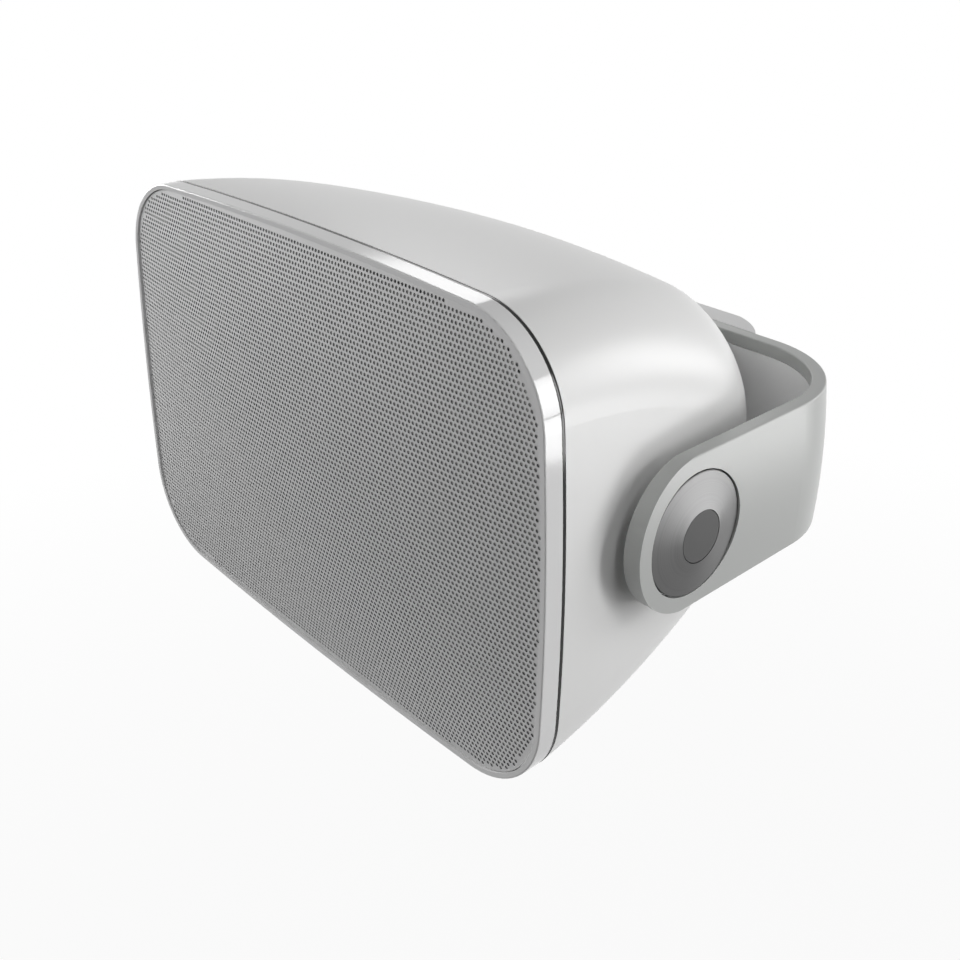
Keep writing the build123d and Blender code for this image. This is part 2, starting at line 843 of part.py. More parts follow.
with BuildPart() as tweeter_dome:
    domed(0, tweeter_z, baffle_depth + tweeter_plate_thickness, dome_radius, dome_height, dome_thickness)
hand_in(tweeter_dome, "tweeter_dome")

with BuildPart() as tweeter_motor:
    turned(
        0,
        tweeter_z,
        [
            (0, tweeter_plate_thickness),
            (tweeter_motor_radius, tweeter_plate_thickness),
            (tweeter_motor_radius, tweeter_plate_thickness + tweeter_motor_length),
            (0, tweeter_plate_thickness + tweeter_motor_length),
        ],
    )
hand_in(tweeter_motor, "tweeter_motor")

with BuildPart() as tweeter_screws:
    pan_screws(
        around(0, tweeter_z, tweeter_screw_ring, tweeter_screw_count),
        baffle_depth,
        baffle_thickness,
    )
hand_in(tweeter_screws, "tweeter_screws")

# Terminal cup in the flat of the back, with a cover that takes the cable gland
cup_floor = cabinet_rear + cup_flange_thickness - cup_depth
with BuildPart() as terminal_cup:
    with BuildSketch(front_plane(cabinet_rear + cup_flange_thickness)):
        SlotOverall(cup_length + 2 * cup_flange, cup_height + cup_flange)
    extrude(amount=cup_flange_thickness)
    with BuildSketch(front_plane(cabinet_rear + cup_flange_thickness)):
        SlotOverall(cup_length, cup_height)
    extrude(amount=cup_depth)
    with BuildSketch(front_plane(cabinet_rear + cup_flange_thickness)):
        SlotOverall(cup_length - 2 * cup_wall, cup_height - 2 * cup_wall)
    extrude(amount=cup_depth - cup_wall, mode=Mode.SUBTRACT)
    with BuildSketch(front_plane(cup_floor)):
        with Locations((-post_spacing / 2, 0), (post_spacing / 2, 0)):
            Circle(post_radius)
    extrude(amount=-cup_wall, mode=Mode.SUBTRACT)
hand_in(terminal_cup, "terminal_cup")

with BuildPart() as terminal_posts:
    for x in (-post_spacing / 2, post_spacing / 2):
        with BuildSketch(front_plane(cup_floor - board_thickness - post_tail)):
            with Locations((x, 0)):
                Circle(post_radius)
        extrude(amount=-(board_thickness + post_tail + cup_wall + post_cap_length / 2))
hand_in(terminal_posts, "terminal_posts")

for name, x in (("terminal_cap_negative", -post_spacing / 2), ("terminal_cap_positive", post_spacing / 2)):
    with BuildPart() as terminal_cap:
        with BuildSketch(front_plane(cup_floor + cup_wall)):
            with Locations((x, 0)):
                RegularPolygon(post_cap_radius, post_cap_sides)
        extrude(amount=-post_cap_length)
        with BuildSketch(front_plane(cup_floor + cup_wall)):
            with Locations((x, 0)):
                Circle(post_radius)
        extrude(amount=-post_cap_length / 2, mode=Mode.SUBTRACT)
    hand_in(terminal_cap, name)

cover_depth = cabinet_rear + cup_flange_thickness
cover_inset = cup_wall + cover_clearance
gland_neck = gland_radius - gland_flange
with BuildPart() as terminal_cover:
    with BuildSketch(front_plane(cover_depth)):
        SlotOverall(cup_length - 2 * cover_inset, cup_height - 2 * cover_inset)
        Circle(gland_neck, mode=Mode.SUBTRACT)
    extrude(amount=cover_thickness)
hand_in(terminal_cover, "terminal_cover")

with BuildPart() as cable_gland:
    with BuildSketch(front_plane(cover_depth)):
        Circle(gland_neck)
        Circle(gland_bore, mode=Mode.SUBTRACT)
    extrude(amount=gland_length)
    with BuildSketch(front_plane(cover_depth - cover_thickness)):
        Circle(gland_radius)
        Circle(gland_bore, mode=Mode.SUBTRACT)
    extrude(amount=gland_flange_thickness)
hand_in(cable_gland, "cable_gland")

# Crossover board on the back of the cup, with its parts on the other face
choke_x = post_spacing / 2 + post_radius + board_gap + choke_radius
board_length = 2 * (choke_x + choke_radius)
with BuildPart() as crossover_board:
    with BuildSketch(front_plane(cup_floor)):
        RectangleRounded(board_length, board_height, board_corner)
        with Locations((-post_spacing / 2, 0), (post_spacing / 2, 0)):
            Circle(post_radius, mode=Mode.SUBTRACT)
    extrude(amount=board_thickness)
hand_in(crossover_board, "crossover_board")

board_face = cup_floor - board_thickness
with BuildPart() as crossover_chokes:
    for x in (-choke_x, choke_x):
        with BuildSketch(front_plane(board_face)):
            with Locations((x, 0)):
                Circle(choke_radius)
                Circle(choke_bore, mode=Mode.SUBTRACT)
        extrude(amount=choke_height)
hand_in(crossover_chokes, "crossover_chokes")

with BuildPart() as crossover_capacitors:
    for z in (-(board_height / 2 - capacitor_radius), board_height / 2 - capacitor_radius):
        place = Plane(
            origin=(-capacitor_length / 2, board_face - capacitor_radius - front_to_wall, z),
            x_dir=(0, 1, 0),
            z_dir=(1, 0, 0),
        )
        with BuildSketch(place):
            Circle(capacitor_radius)
        extrude(amount=capacitor_length)
hand_in(crossover_capacitors, "crossover_capacitors")

with BuildPart() as crossover_resistor:
    with BuildSketch(front_plane(board_face)):
        Rectangle(resistor_length, resistor_width)
    extrude(amount=resistor_width)
hand_in(crossover_resistor, "crossover_resistor")


def yoke_path(end_depth):
    """Line along the yoke's outer edge in plan, from one arm round the back to the other."""
    x, end_y = yoke_half_width, end_depth - front_to_wall
    turn_y, turn_x = yoke_back_y - yoke_corner_radius, x - yoke_corner_radius
    part_turn = yoke_corner_radius * sqrt(0.5)
    with BuildLine(Plane.XY) as path:
        Line((x, end_y), (x, turn_y))
        ThreePointArc((x, turn_y), (turn_x + part_turn, turn_y + part_turn), (turn_x, yoke_back_y))
        Line((turn_x, yoke_back_y), (-turn_x, yoke_back_y))
        ThreePointArc((-turn_x, yoke_back_y), (-turn_x - part_turn, turn_y + part_turn), (-x, turn_y))
        Line((-x, turn_y), (-x, end_y))
    return path.line


def yoke_section_plane(end_depth):
    """Plane across the arm's end; its x is outwards from the arm's outer edge and its y is up."""
    return Plane(
        origin=(yoke_half_width, end_depth - front_to_wall, 0),
        x_dir=(1, 0, 0),
        z_dir=(0, -1, 0),
    )


arm_end_depth = pivot_depth - yoke_half_height
channel_half_height = yoke_half_height - lip_height
channel_end_depth = pivot_depth + channel_start

# Yoke: the crowned strap swept round the U, with round arm ends, disc seats and a shallow
# channel inside for the cover strip
with BuildPart() as yoke:
    with BuildSketch(yoke_section_plane(arm_end_depth)):
        with BuildLine():
            Polyline(
                (0, yoke_half_height),
                (-yoke_thickness, yoke_half_height),
                (-yoke_thickness, -yoke_half_height),
                (0, -yoke_half_height),
            )
            ThreePointArc((0, -yoke_half_height), (yoke_crown, 0), (0, yoke_half_height))
        section = make_face()
        fillet(section.vertices(), yoke_edge_radius)
    sweep(path=yoke_path(arm_end_depth))
    with BuildSketch(Plane.YZ):
        with Locations((pivot_y, 0)):
            Circle(yoke_half_height)
        with Locations((pivot_y / 2, 0)):
            Rectangle(pivot_to_wall, 2 * yoke_half_height)
    extrude(amount=yoke_half_width + 2 * yoke_crown, both=True, mode=Mode.INTERSECT)
    with BuildSketch(yoke_section_plane(channel_end_depth)):
        with Locations(((channel_depth - channel_overcut) / 2 - yoke_thickness, 0)):
            Rectangle(channel_depth + channel_overcut, 2 * channel_half_height)
    sweep(path=yoke_path(channel_end_depth), mode=Mode.SUBTRACT)
    with BuildSketch(Plane.YZ):
        with Locations((pivot_y, 0)):
            Circle(bush_radius)
    extrude(amount=yoke_half_width + 2 * yoke_crown, both=True, mode=Mode.SUBTRACT)
    for side in (1, -1):
        with BuildSketch(Plane.YZ.offset(side * disc_floor)):
            with Locations((pivot_y, 0)):
                Circle(disc_radius + disc_gap)
        extrude(amount=side * 2 * disc_recess_depth, mode=Mode.SUBTRACT)
    channel_floor_y = yoke_back_y - yoke_thickness + channel_depth
    with Locations(Plane.XZ.offset(-channel_floor_y)):
        with Locations(*joint_screw_places):
            CounterSinkHole(joint_screw_radius, joint_screw_head_radius, 2 * yoke_thickness, 90)
hand_in(yoke, "yoke")

with BuildPart() as yoke_cover_strip:
    strip_end = channel_end_depth + strip_clearance
    with BuildSketch(yoke_section_plane(strip_end)):
        with Locations((channel_depth / 2 - yoke_thickness, 0)):
            Rectangle(channel_depth, 2 * (channel_half_height - strip_clearance))
    sweep(path=yoke_path(strip_end))
hand_in(yoke_cover_strip, "yoke_cover_strip")

# Wall plate: a tray that flares from the wall to the yoke, with pads for the wall screws on its
# floor and two bosses that the yoke is screwed to
crown_radius = (yoke_half_height**2 + yoke_crown**2) / (2 * yoke_crown)


def plate_outline(inset):
    """The wall plate's plan outline, bowed at its two ends."""
    foot, head = plate_foot_half_width - inset, plate_head_half_width - inset
    front_y = yoke_back_y
    run, rise = head - foot, -front_y
    length = sqrt(run**2 + rise**2)
    bow_x = (foot + head) / 2 + plate_side_bow * rise / length
    bow_y = front_y / 2 + plate_side_bow * run / length
    with BuildSketch() as outline:
        with BuildLine():
            Line((-foot, 0), (foot, 0))
            ThreePointArc((foot, 0), (bow_x, bow_y), (head, front_y))
            Line((head, front_y), (-head, front_y))
            ThreePointArc((-head, front_y), (-bow_x, bow_y), (-foot, 0))
        make_face()
    return outline.sketch


wall_hole_places = [
    (x, z)
    for x in (-wall_hole_spacing_x / 2, wall_hole_spacing_x / 2)
    for z in (-wall_hole_spacing_z / 2, wall_hole_spacing_z / 2)
]
with BuildPart() as wall_plate:
    with BuildSketch(Plane.XY):
        add(plate_outline(0.0))
    extrude(amount=yoke_half_height, both=True)
    with BuildSketch(Plane.XY):
        add(plate_outline(plate_wall))
        with Locations((0, -plate_floor / 2)):
            Rectangle(2 * plate_head_half_width, plate_floor, mode=Mode.SUBTRACT)
    extrude(amount=yoke_half_height - plate_wall, both=True, mode=Mode.SUBTRACT)
    with BuildSketch(Plane.XZ):
        with Locations(*wall_hole_places):
            Circle(wall_boss_radius)
    extrude(amount=wall_boss_height)
    with BuildSketch(Plane.XZ):
        with Locations(*joint_screw_places):
            Circle(joint_boss_radius)
    extrude(amount=plate_depth)
    with BuildSketch(Plane.YZ):
        with Locations((yoke_back_y + yoke_crown - crown_radius, 0)):
            Circle(crown_radius)
    extrude(amount=yoke_half_width, both=True, mode=Mode.SUBTRACT)
    with BuildSketch(Plane.XZ):
        with Locations(*wall_hole_places):
            Circle(wall_hole_radius)
        with Locations(*joint_screw_places):
            Circle(joint_screw_radius)
    extrude(amount=front_to_wall, mode=Mode.SUBTRACT)
hand_in(wall_plate, "wall_plate")

with BuildPart() as yoke_screws:
    for place in joint_screw_places:
        with BuildSketch(Plane.XZ.offset(-channel_floor_y)):
            with Locations(place):
                Circle(joint_screw_head_radius)
        extrude(amount=-(joint_screw_head_radius - joint_screw_radius), taper=45)
        with BuildSketch(Plane.XZ.offset(-channel_floor_y)):
            with Locations(place):
                Circle(joint_screw_radius)
        extrude(amount=-joint_screw_length)
hand_in(yoke_screws, "yoke_screws")


def pivot_profile(side, points):
    """Revolve a profile of (distance from the middle, radius) about the tilt axis on one side."""
    place = Plane(origin=(0, pivot_y, 0), x_dir=(side, 0, 0), z_dir=(0, -side, 0))
    with BuildSketch(place) as profile:
        with BuildLine():
            Polyline(*points, close=True)
        make_face()
    revolve(profile.sketch, axis=pivot_axis)


# Pivots, the same on both sides
for side, hand in ((1, "right"), (-1, "left")):
    with BuildPart() as pivot_insert:
        pivot_profile(
            side,
            [
                (pad_face - insert_length, bolt_thread_radius),
                (pad_face, bolt_thread_radius),
                (pad_face, insert_radius),
                (pad_face - insert_length, insert_radius),
            ],
        )
    hand_in(pivot_insert, f"pivot_insert_{hand}")

    with BuildPart() as friction_washer:
        pivot_profile(
            side,
            [
                (pad_face, washer_bore),
                (yoke_inner - washer_gap, washer_bore),
                (yoke_inner - washer_gap, pad_radius - washer_inset),
                (pad_face, pad_radius - washer_inset),
            ],
        )
    hand_in(friction_washer, f"friction_washer_{hand}")

    with BuildPart() as pivot_bush:
        pivot_profile(
            side,
            [
                (yoke_inner, shoulder_radius + running_clearance),
                (disc_floor, shoulder_radius + running_clearance),
                (disc_floor, bush_radius),
                (yoke_inner, bush_radius),
            ],
        )
    hand_in(pivot_bush, f"pivot_bush_{hand}")

    with BuildPart() as pivot_bolt:
        pivot_profile(
            side,
            [
                (pad_face - bolt_thread_length, 0),
                (pad_face - bolt_thread_length, bolt_thread_radius),
                (pad_face, bolt_thread_radius),
                (pad_face, shoulder_radius),
                (head_seat, shoulder_radius),
                (head_seat, bolt_head_radius),
                (head_top, bolt_head_radius),
                (head_top, 0),
            ],
        )
        with BuildSketch(Plane.YZ.offset(side * head_top)):
            with Locations((pivot_y, 0)):
                RegularPolygon(bolt_thread_radius, 6)
        extrude(amount=-side * (head_top - head_seat), mode=Mode.SUBTRACT)
    hand_in(pivot_bolt, f"pivot_bolt_{hand}")

    with BuildPart() as pivot_disc:
        pivot_profile(
            side,
            [
                (disc_back, shoulder_radius),
                (disc_back, disc_radius),
                (disc_rim - disc_chamfer, disc_radius),
                (disc_rim, disc_radius - disc_chamfer),
                (disc_face, cap_radius + cap_clearance),
                (cap_seat, cap_radius + cap_clearance),
                (cap_seat, bolt_head_radius + cap_clearance),
                (head_seat, bolt_head_radius + cap_clearance),
                (head_seat, shoulder_radius),
            ],
        )
    hand_in(pivot_disc, f"pivot_disc_{hand}")

    with BuildPart() as disc_cap:
        pivot_profile(
            side,
            [
                (cap_seat, 0),
                (cap_seat, cap_radius),
                (disc_face - cap_edge, cap_radius),
                (disc_face, cap_radius - cap_edge),
                (disc_face, 0),
            ],
        )
    hand_in(disc_cap, f"disc_cap_{hand}")
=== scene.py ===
# %% [markdown]
# # An outdoor patio speaker on its wall yoke
# The solids of this speaker come from CAD and never move here. This lesson dresses them: it
# opens the frame, sets the camera, punches the grille, mixes the paints and metals, and lights
# the scene. Every length is in metres, in the frame of the CAD: X runs along the cabinet, the
# wall is the plane y = 0, the front looks along -Y, and the cabinet tilts about the line along
# X at y = -0.123, z = 0.

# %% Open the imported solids
import json
from math import cos, pi, radians, sin, sqrt

import bpy
import numpy as np
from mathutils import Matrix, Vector


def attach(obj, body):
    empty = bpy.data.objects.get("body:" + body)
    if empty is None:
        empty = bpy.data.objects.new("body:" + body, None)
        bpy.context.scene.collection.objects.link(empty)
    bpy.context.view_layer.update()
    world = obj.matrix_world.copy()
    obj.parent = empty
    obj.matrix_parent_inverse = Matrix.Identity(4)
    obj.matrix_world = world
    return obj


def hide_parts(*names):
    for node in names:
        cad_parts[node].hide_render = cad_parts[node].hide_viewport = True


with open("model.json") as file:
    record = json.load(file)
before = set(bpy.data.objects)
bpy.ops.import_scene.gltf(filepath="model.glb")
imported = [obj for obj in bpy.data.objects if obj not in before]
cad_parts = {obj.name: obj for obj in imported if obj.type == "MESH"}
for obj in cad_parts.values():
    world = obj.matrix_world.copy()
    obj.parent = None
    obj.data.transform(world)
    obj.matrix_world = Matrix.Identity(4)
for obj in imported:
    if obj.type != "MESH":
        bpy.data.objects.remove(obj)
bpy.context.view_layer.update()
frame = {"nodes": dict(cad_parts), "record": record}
nodes = frame["nodes"]
scene = bpy.context.scene
scene.view_settings.view_transform = "Standard"

# %% [markdown]
# ## Camera
# The photograph was taken from above and to the right and from close by, so the near corner
# looks much larger than the far one. Guessing a lens by eye seldom gives that perspective. The
# place below was solved from corners and edges whose sizes are known, and the picture is framed
# with the lens shift instead of by turning the camera, so the perspective stays as solved.

# %% Place the camera
camera_pitch, camera_turn = -20.056, 47.774  # degrees from level, and from looking along +Y
camera_data = bpy.data.cameras.new("photo_camera")
camera_data.sensor_width = 36.0
camera_data.lens = 46.453
camera_data.shift_x = -0.01222
camera_data.shift_y = -0.18587
camera = bpy.data.objects.new("photo_camera", camera_data)
camera.location = (0.38550, -0.43948, 0.23133)
camera.rotation_euler = (radians(90 + camera_pitch), 0, radians(camera_turn))
scene.collection.objects.link(camera)
scene.camera = camera
print("camera", round(camera.location.length, 3), "m from the middle of the wall face")

# %% [markdown]
# ## The grille
# On the real speaker the grille is a steel sheet, punched with round holes in staggered rows,
# pressed into a shallow pillow and folded over at its edge. An image of dots would go soft up
# close, and a boolean with twelve thousand cylinders would be very slow. Here the sheet is worked
# out as arrays: every hole sits in a six-sided cell of the stagger, the cells tile the sheet, and
# the cells along the border are pulled onto the outline, so the sheet closes without a single cut.
#
# The outline comes first. Each side of the front is one long arc, and a small arc rounds each
# corner and meets both without a kink. Once the centres and radii of these arcs are known, how
# far any point lies from the border is a single subtraction.

# %% The outline of the front
mm = 0.001
front_width, front_height, front_corner = 276 * mm, 191 * mm, 38.6 * mm
side_bulge, top_bulge = 4.4 * mm, 3.8 * mm
least_length = 1e-9  # keeps a direction from being divided by nothing


def outline_arcs(inset):
    """Centres and radii of the arcs of one quarter of the front outline, moved inwards by inset.

    The side is the arc through its two ends, rise above and below the middle, and through the
    middle itself, which stands out by the bulge. So its radius is (rise squared plus bulge
    squared) over twice the bulge; the top likewise. The corner touches both from inside, so its
    centre lies at (radius minus corner radius) from either centre.
    """
    half_width, half_height = front_width / 2 - inset, front_height / 2 - inset
    corner = front_corner - inset
    run, rise = half_width - side_bulge, half_height - top_bulge
    top_radius = (run**2 + top_bulge**2) / (2 * top_bulge)
    side_radius = (rise**2 + side_bulge**2) / (2 * side_bulge)
    top, side = np.array((0, half_height - top_radius)), np.array((half_width - side_radius, 0))
    apart = np.linalg.norm(side - top)
    along = ((top_radius - corner) ** 2 - (side_radius - corner) ** 2 + apart**2) / (2 * apart)
    across = sqrt((top_radius - corner) ** 2 - along**2)
    toward = (side - top) / apart
    middle = top + toward * along + np.array((toward[1], -toward[0])) * across
    return (side, side_radius), (middle, corner), (top, top_radius)


def edge_depth(points, inset):
    """How far points (x, z) lie inside the outline, and the outward direction there.

    Inside an arc the depth is its radius minus the distance to its centre. The corner arc counts
    between the two lines that run from the side's and the top's centre through the corner's, and
    elsewhere the smaller of the other two depths does. Signs mirror one quarter to all four.
    """
    arcs = outline_arcs(inset)
    away = [np.abs(points) - centre for centre, _ in arcs]
    length = [np.maximum(np.linalg.norm(v, axis=-1), least_length) for v in away]
    depth = [radius - far for (_, radius), far in zip(arcs, length)]
    low, high, at = arcs[1][0] - arcs[0][0], arcs[1][0] - arcs[2][0], away[1]
    past_side = low[0] * at[..., 1] > low[1] * at[..., 0]
    before_top = at[..., 0] * high[1] > at[..., 1] * high[0]
    nearest = np.where(past_side & before_top, 1, np.where(depth[0] < depth[2], 0, 2))
    outward = sum(v / far[..., None] * (nearest == n)[..., None]
                  for n, (v, far) in enumerate(zip(away, length)))
    return np.choose(nearest, depth), outward * np.where(points < 0, -1.0, 1.0)


def outline_points(inset, around):
    """Points around the front outline moved inwards by inset, and the outward direction at each.

    They start on a rounded box of the front's size, where |x / a| and |z / b|, each to the fourth
    power, add up to 1. Then they move along the outward direction by their depth, which puts
    them on the outline.
    """
    squareness = 4
    angle = np.arange(around) * 2 * pi / around
    ray = np.stack([np.cos(angle), np.sin(angle)], -1)
    reach = (np.abs(ray) ** squareness).sum(-1, keepdims=True) ** (1 / squareness)
    box = ray * (front_width / 2, front_height / 2) / reach
    depth, outward = edge_depth(box, inset)
    return box + outward * depth[:, None], outward


corner_centre = outline_arcs(0)[1][0]
print("corner centre of the front at", [round(v / mm, 2) for v in corner_centre], "mm")

# %% [markdown]
# ### Holes in a stagger
# Each row of holes is moved half a pitch against the next, as the punch leaves it. An array
# modifier could repeat one hole, but it couldn't stop at a curved border. So the whole pattern is
# laid out as points, those outside the border drop out, and what is left is a cell around each
# hole. The press then gives the sheet its pillow, a height that depends on the place alone.

# %% Cells of the stagger
hole_pitch, row_pitch, hole_radius = 2.0 * mm, 2.0 * mm, 0.70 * mm
sheet_front, sheet_thickness = -190.0 * mm, 0.5 * mm
sheet_back = sheet_front + sheet_thickness
sheet_inset, bend_radius = 2.35 * mm, 0.5 * mm
flat_inset = sheet_inset + bend_radius
sheet_dome = 9.3 * mm  # height of the pillow in the middle
back_lip = 0.05 * mm  # by this the back of the flat stops short of its border
border_share = 0.45 * mm  # a cell's middle lies at least this far inside the border
hole_margin = 0.2 * mm  # metal that stays around a hole
most_rows, most_columns = 50, 70  # either way from the middle, enough to cover the front

# A cell has six corners, and two more points in the middle of its upright sides.
half_pitch = hole_pitch / 2
peak = (hole_pitch**2 / 4 + row_pitch**2) / (2 * row_pitch)
shoulder = (row_pitch**2 - hole_pitch**2 / 4) / (2 * row_pitch)
cell_ring = np.array([
    (half_pitch, 0), (half_pitch, shoulder), (0, peak), (-half_pitch, shoulder),
    (-half_pitch, 0), (-half_pitch, -shoulder), (0, -peak), (half_pitch, -shoulder)])
beside = np.array((hole_pitch, 0))
above, below = np.array((half_pitch, row_pitch)), np.array((half_pitch, -row_pitch))
cells_that_meet = np.array([
    (beside, beside), (beside, above), (above, above - beside), (above - beside, -beside),
    (-beside, -beside), (-beside, -above), (-above, below), (below, beside)])
ring_sides = len(cell_ring)
ring_turn = np.arange(ring_sides) * 2 * pi / ring_sides
hole_ring = hole_radius * np.stack([np.cos(ring_turn), np.sin(ring_turn)], -1)


def perforation():
    """Centres, cell outlines and border marks of all cells, and which cells carry a hole.

    Row k lies at k row pitches, and odd rows move half a pitch sideways. A cell counts if its
    centre lies inside the flat of the sheet. A corner where one of the three cells that meet is
    missing lies on the border, and moves along the outward direction onto the outline. A hole
    is punched where every side of its cell keeps clear of it.
    """
    rows, columns = np.meshgrid(np.arange(-most_rows, most_rows + 1),
                                np.arange(-most_columns, most_columns + 1), indexing="ij")
    across, up = (columns + 0.5 * (rows % 2)) * hole_pitch, rows * row_pitch
    centres = np.stack([across, up], -1).reshape(-1, 2)
    centres = centres[edge_depth(centres, flat_inset)[0] > border_share]
    corners = centres[:, None] + cell_ring
    neighbours = centres[:, None, None] + cells_that_meet
    border = (edge_depth(neighbours, flat_inset)[0] <= border_share).any(-1)
    depth, outward = edge_depth(corners, flat_inset)
    corners = np.where(border[..., None], corners + outward * depth[..., None], corners)
    a, b = corners - centres[:, None], np.roll(corners, -1, 1) - centres[:, None]
    clear = (a[..., 0] * b[..., 1] - a[..., 1] * b[..., 0]) / np.linalg.norm(b - a, axis=-1)
    return centres, corners, border, clear.min(1) > hole_radius + hole_margin


def pillow(points):
    """How far the pressed sheet stands out over its edge at points (x, z).

    The height falls off as a parabola along both axes: dome times (1 - (x / a) squared) times
    (1 - (z / b) squared), where a and b are the half width and half height of the sheet.
    """
    share = 1 - (points / (front_width / 2 - sheet_inset, front_height / 2 - sheet_inset)) ** 2
    return sheet_dome * np.maximum(share[..., 0], 0) * np.maximum(share[..., 1], 0)


hole_centres, hole_cells, on_border, punched = perforation()
print(len(hole_centres), "cells,", int(punched.sum()), "holes")

# %% [markdown]
# ### From arrays to a mesh
# The cells have some 380,000 points, and adding them one by one would be slow. foreach_set hands
# over whole arrays instead. Neighbouring cells repeat the corners that they share, so equal points
# are merged on the way, which joins the cells to one surface. The other new pieces of this speaker
# are each one profile carried around the front, so a second helper joins a grid of such points.

# %% Put arrays into a mesh
merge_step = 1e-7  # points closer than this are one


def quad_piece(name, points, quads, smooth):
    """A mesh object from arrays of corners and of four-sided faces, with equal points merged.

    A face that names one point twice running is a triangle, and is stored as one. Gives the
    object, and which corners of the faces are kept.
    """
    keys, first, same = np.unique(np.round(points / merge_step).astype(np.int64), axis=0,
                                  return_index=True, return_inverse=True)
    faces = same.reshape(-1)[quads]
    kept = np.concatenate([np.ones((len(faces), 1), bool), faces[:, 1:] != faces[:, :-1]], 1)
    size = kept.sum(1)
    starts = np.concatenate([[0], np.cumsum(size)[:-1]])
    mesh = bpy.data.meshes.new(name)
    mesh.vertices.add(len(keys))
    mesh.vertices.foreach_set("co", points[first].astype(np.float32).ravel())
    mesh.loops.add(int(size.sum()))
    mesh.loops.foreach_set("vertex_index", faces[kept].astype(np.int32))
    mesh.polygons.add(len(faces))
    mesh.polygons.foreach_set("loop_start", starts.astype(np.int32))
    mesh.polygons.foreach_set("use_smooth", smooth)
    mesh.update(calc_edges=True)
    mesh.validate()
    piece = bpy.data.objects.new(name, mesh)
    scene.collection.objects.link(piece)
    return piece, kept


def carried_profile(name, flat, depths, closed=False, first_corner=0):
    """A smooth piece from a profile carried around the front: points (x, z) and their depths y.

    Row i of the grid is the profile at step i, and the last row joins the first. Point j of a
    row joins point j + 1, and in a closed profile the last joins the first. A face's first corner
    matters only where all steps share one point, as in the middle of a disc: there the two equal
    points have to follow each other, so that the face is stored as a triangle.
    """
    points = np.stack([flat[..., 0], np.broadcast_to(depths, flat.shape[:2]), flat[..., 1]], -1)
    n, m = points.shape[:2]
    i, j = np.meshgrid(np.arange(n), np.arange(m if closed else m - 1), indexing="ij")
    i_next, j_next = (i + 1) % n, (j + 1) % m
    quads = np.stack([i * m + j, i * m + j_next, i_next * m + j_next, i_next * m + j], -1)
    quads = np.roll(quads.reshape(-1, 4), first_corner, 1)
    return quad_piece(name, points.reshape(-1, 3), quads, np.ones(len(quads), bool))[0]


print("mesh helpers ready")

# %% [markdown]
# ### Punching the sheet
# A punched hole has a wall as deep as the sheet is thick, and that wall is what makes the holes
# change as one walks past. Each cell therefore gets a front, a wall and a back. The sheet is made
# in four pieces, side by side, because a mesh of more than 200,000 triangles is thinned out when
# it is exported.

# %% Punch the sheet
map_left, map_right, map_foot = 0.01, 0.51, 0.01  # where the two halves of the map begin
map_size = (0.48, 0.98)
wall_share = 0.5  # on the map, a hole's back rim is this much of its front rim


def punched_sheet(name, chosen):
    """One part of the sheet, from the chosen cells: front, walls of the holes, back.

    Each cell has four rings of eight points: its outline and its hole on the front, and both on
    the back. Ring by ring, point j joins point j + 1, so a band between two rings is eight
    four-sided faces. In a cell without a hole the hole's rings shrink to the middle.
    """
    middle, outline = hole_centres[chosen][:, None], hole_cells[chosen]
    hole = middle + hole_ring * punched[chosen][:, None, None]
    inward = -edge_depth(outline, flat_inset)[1]
    inner_edge = outline + inward * back_lip * on_border[chosen][..., None]
    levels = [(outline, sheet_front), (hole, sheet_front),
              (hole, sheet_back), (inner_edge, sheet_back)]
    grid = np.stack([np.stack([xz[..., 0], y - pillow(xz), xz[..., 1]], -1) for xz, y in levels], 1)
    j = np.arange(ring_sides)
    k = (j + 1) % ring_sides
    bands = np.concatenate([
        np.stack([j, k, ring_sides + k, ring_sides + j], -1) + ring_sides * n for n in range(3)])
    cell_start = np.arange(len(middle))[:, None, None] * len(levels) * ring_sides
    quads = (cell_start + bands).reshape(-1, 4)
    wall = np.tile(np.repeat([False, True, False], ring_sides), len(middle))
    real = ~(wall & np.repeat(~punched[chosen], len(bands)))
    piece, kept = quad_piece(name, grid.reshape(-1, 3), quads[real], wall[real])
    # Map for baked pictures: the front fills the left half, the back the right half, and the
    # back rim of a hole is drawn inside its front rim, so the wall between them has a width.
    low, high = outline.min((0, 1)), outline.max((0, 1))
    back_rim = middle + (hole - middle) * wall_share
    pairs = [(outline, hole, map_left), (hole, back_rim, map_left), (hole, inner_edge, map_right)]
    drawn = np.stack([
        (np.stack([a[:, j], a[:, k], b[:, k], b[:, j]], 2) - low) / (high - low) * map_size
        + (left, map_foot) for a, b, left in pairs], 1)
    layer = piece.data.uv_layers.new(name="OFBake")
    layer.data.foreach_set("uv", drawn.reshape(-1, 4, 2)[real][kept].astype(np.float32).ravel())
    return piece


def triangle_count(piece):
    """How many triangles a piece has: a face with n corners makes n - 2."""
    return len(piece.data.loops) - 2 * len(piece.data.polygons)


sheet_cuts = (-68 * mm, 0, 68 * mm)
sheet_part = np.digitize(hole_centres[:, 0], sheet_cuts)
sheet_names = ("grille_far_left", "grille_left", "grille_right", "grille_far_right")
grille_pieces = [punched_sheet(name, sheet_part == n) for n, name in enumerate(sheet_names)]
print([(piece.name, triangle_count(piece)) for piece in grille_pieces], "triangles")

# %% [markdown]
# ### Folding the edge
# The border of the sheet is folded back into the front moulding, which hides its cut edge and
# stiffens it. A bevel on a curve would not meet the border cells point by point. So the fold
# starts from those very points: a profile with the bend, the return and its foot runs around them.

# %% Fold the edge of the sheet
fold_foot, foot_round = 3.4 * mm, 0.05 * mm
bend_points = 5
border_step = 1e-8  # border points closer than this are one


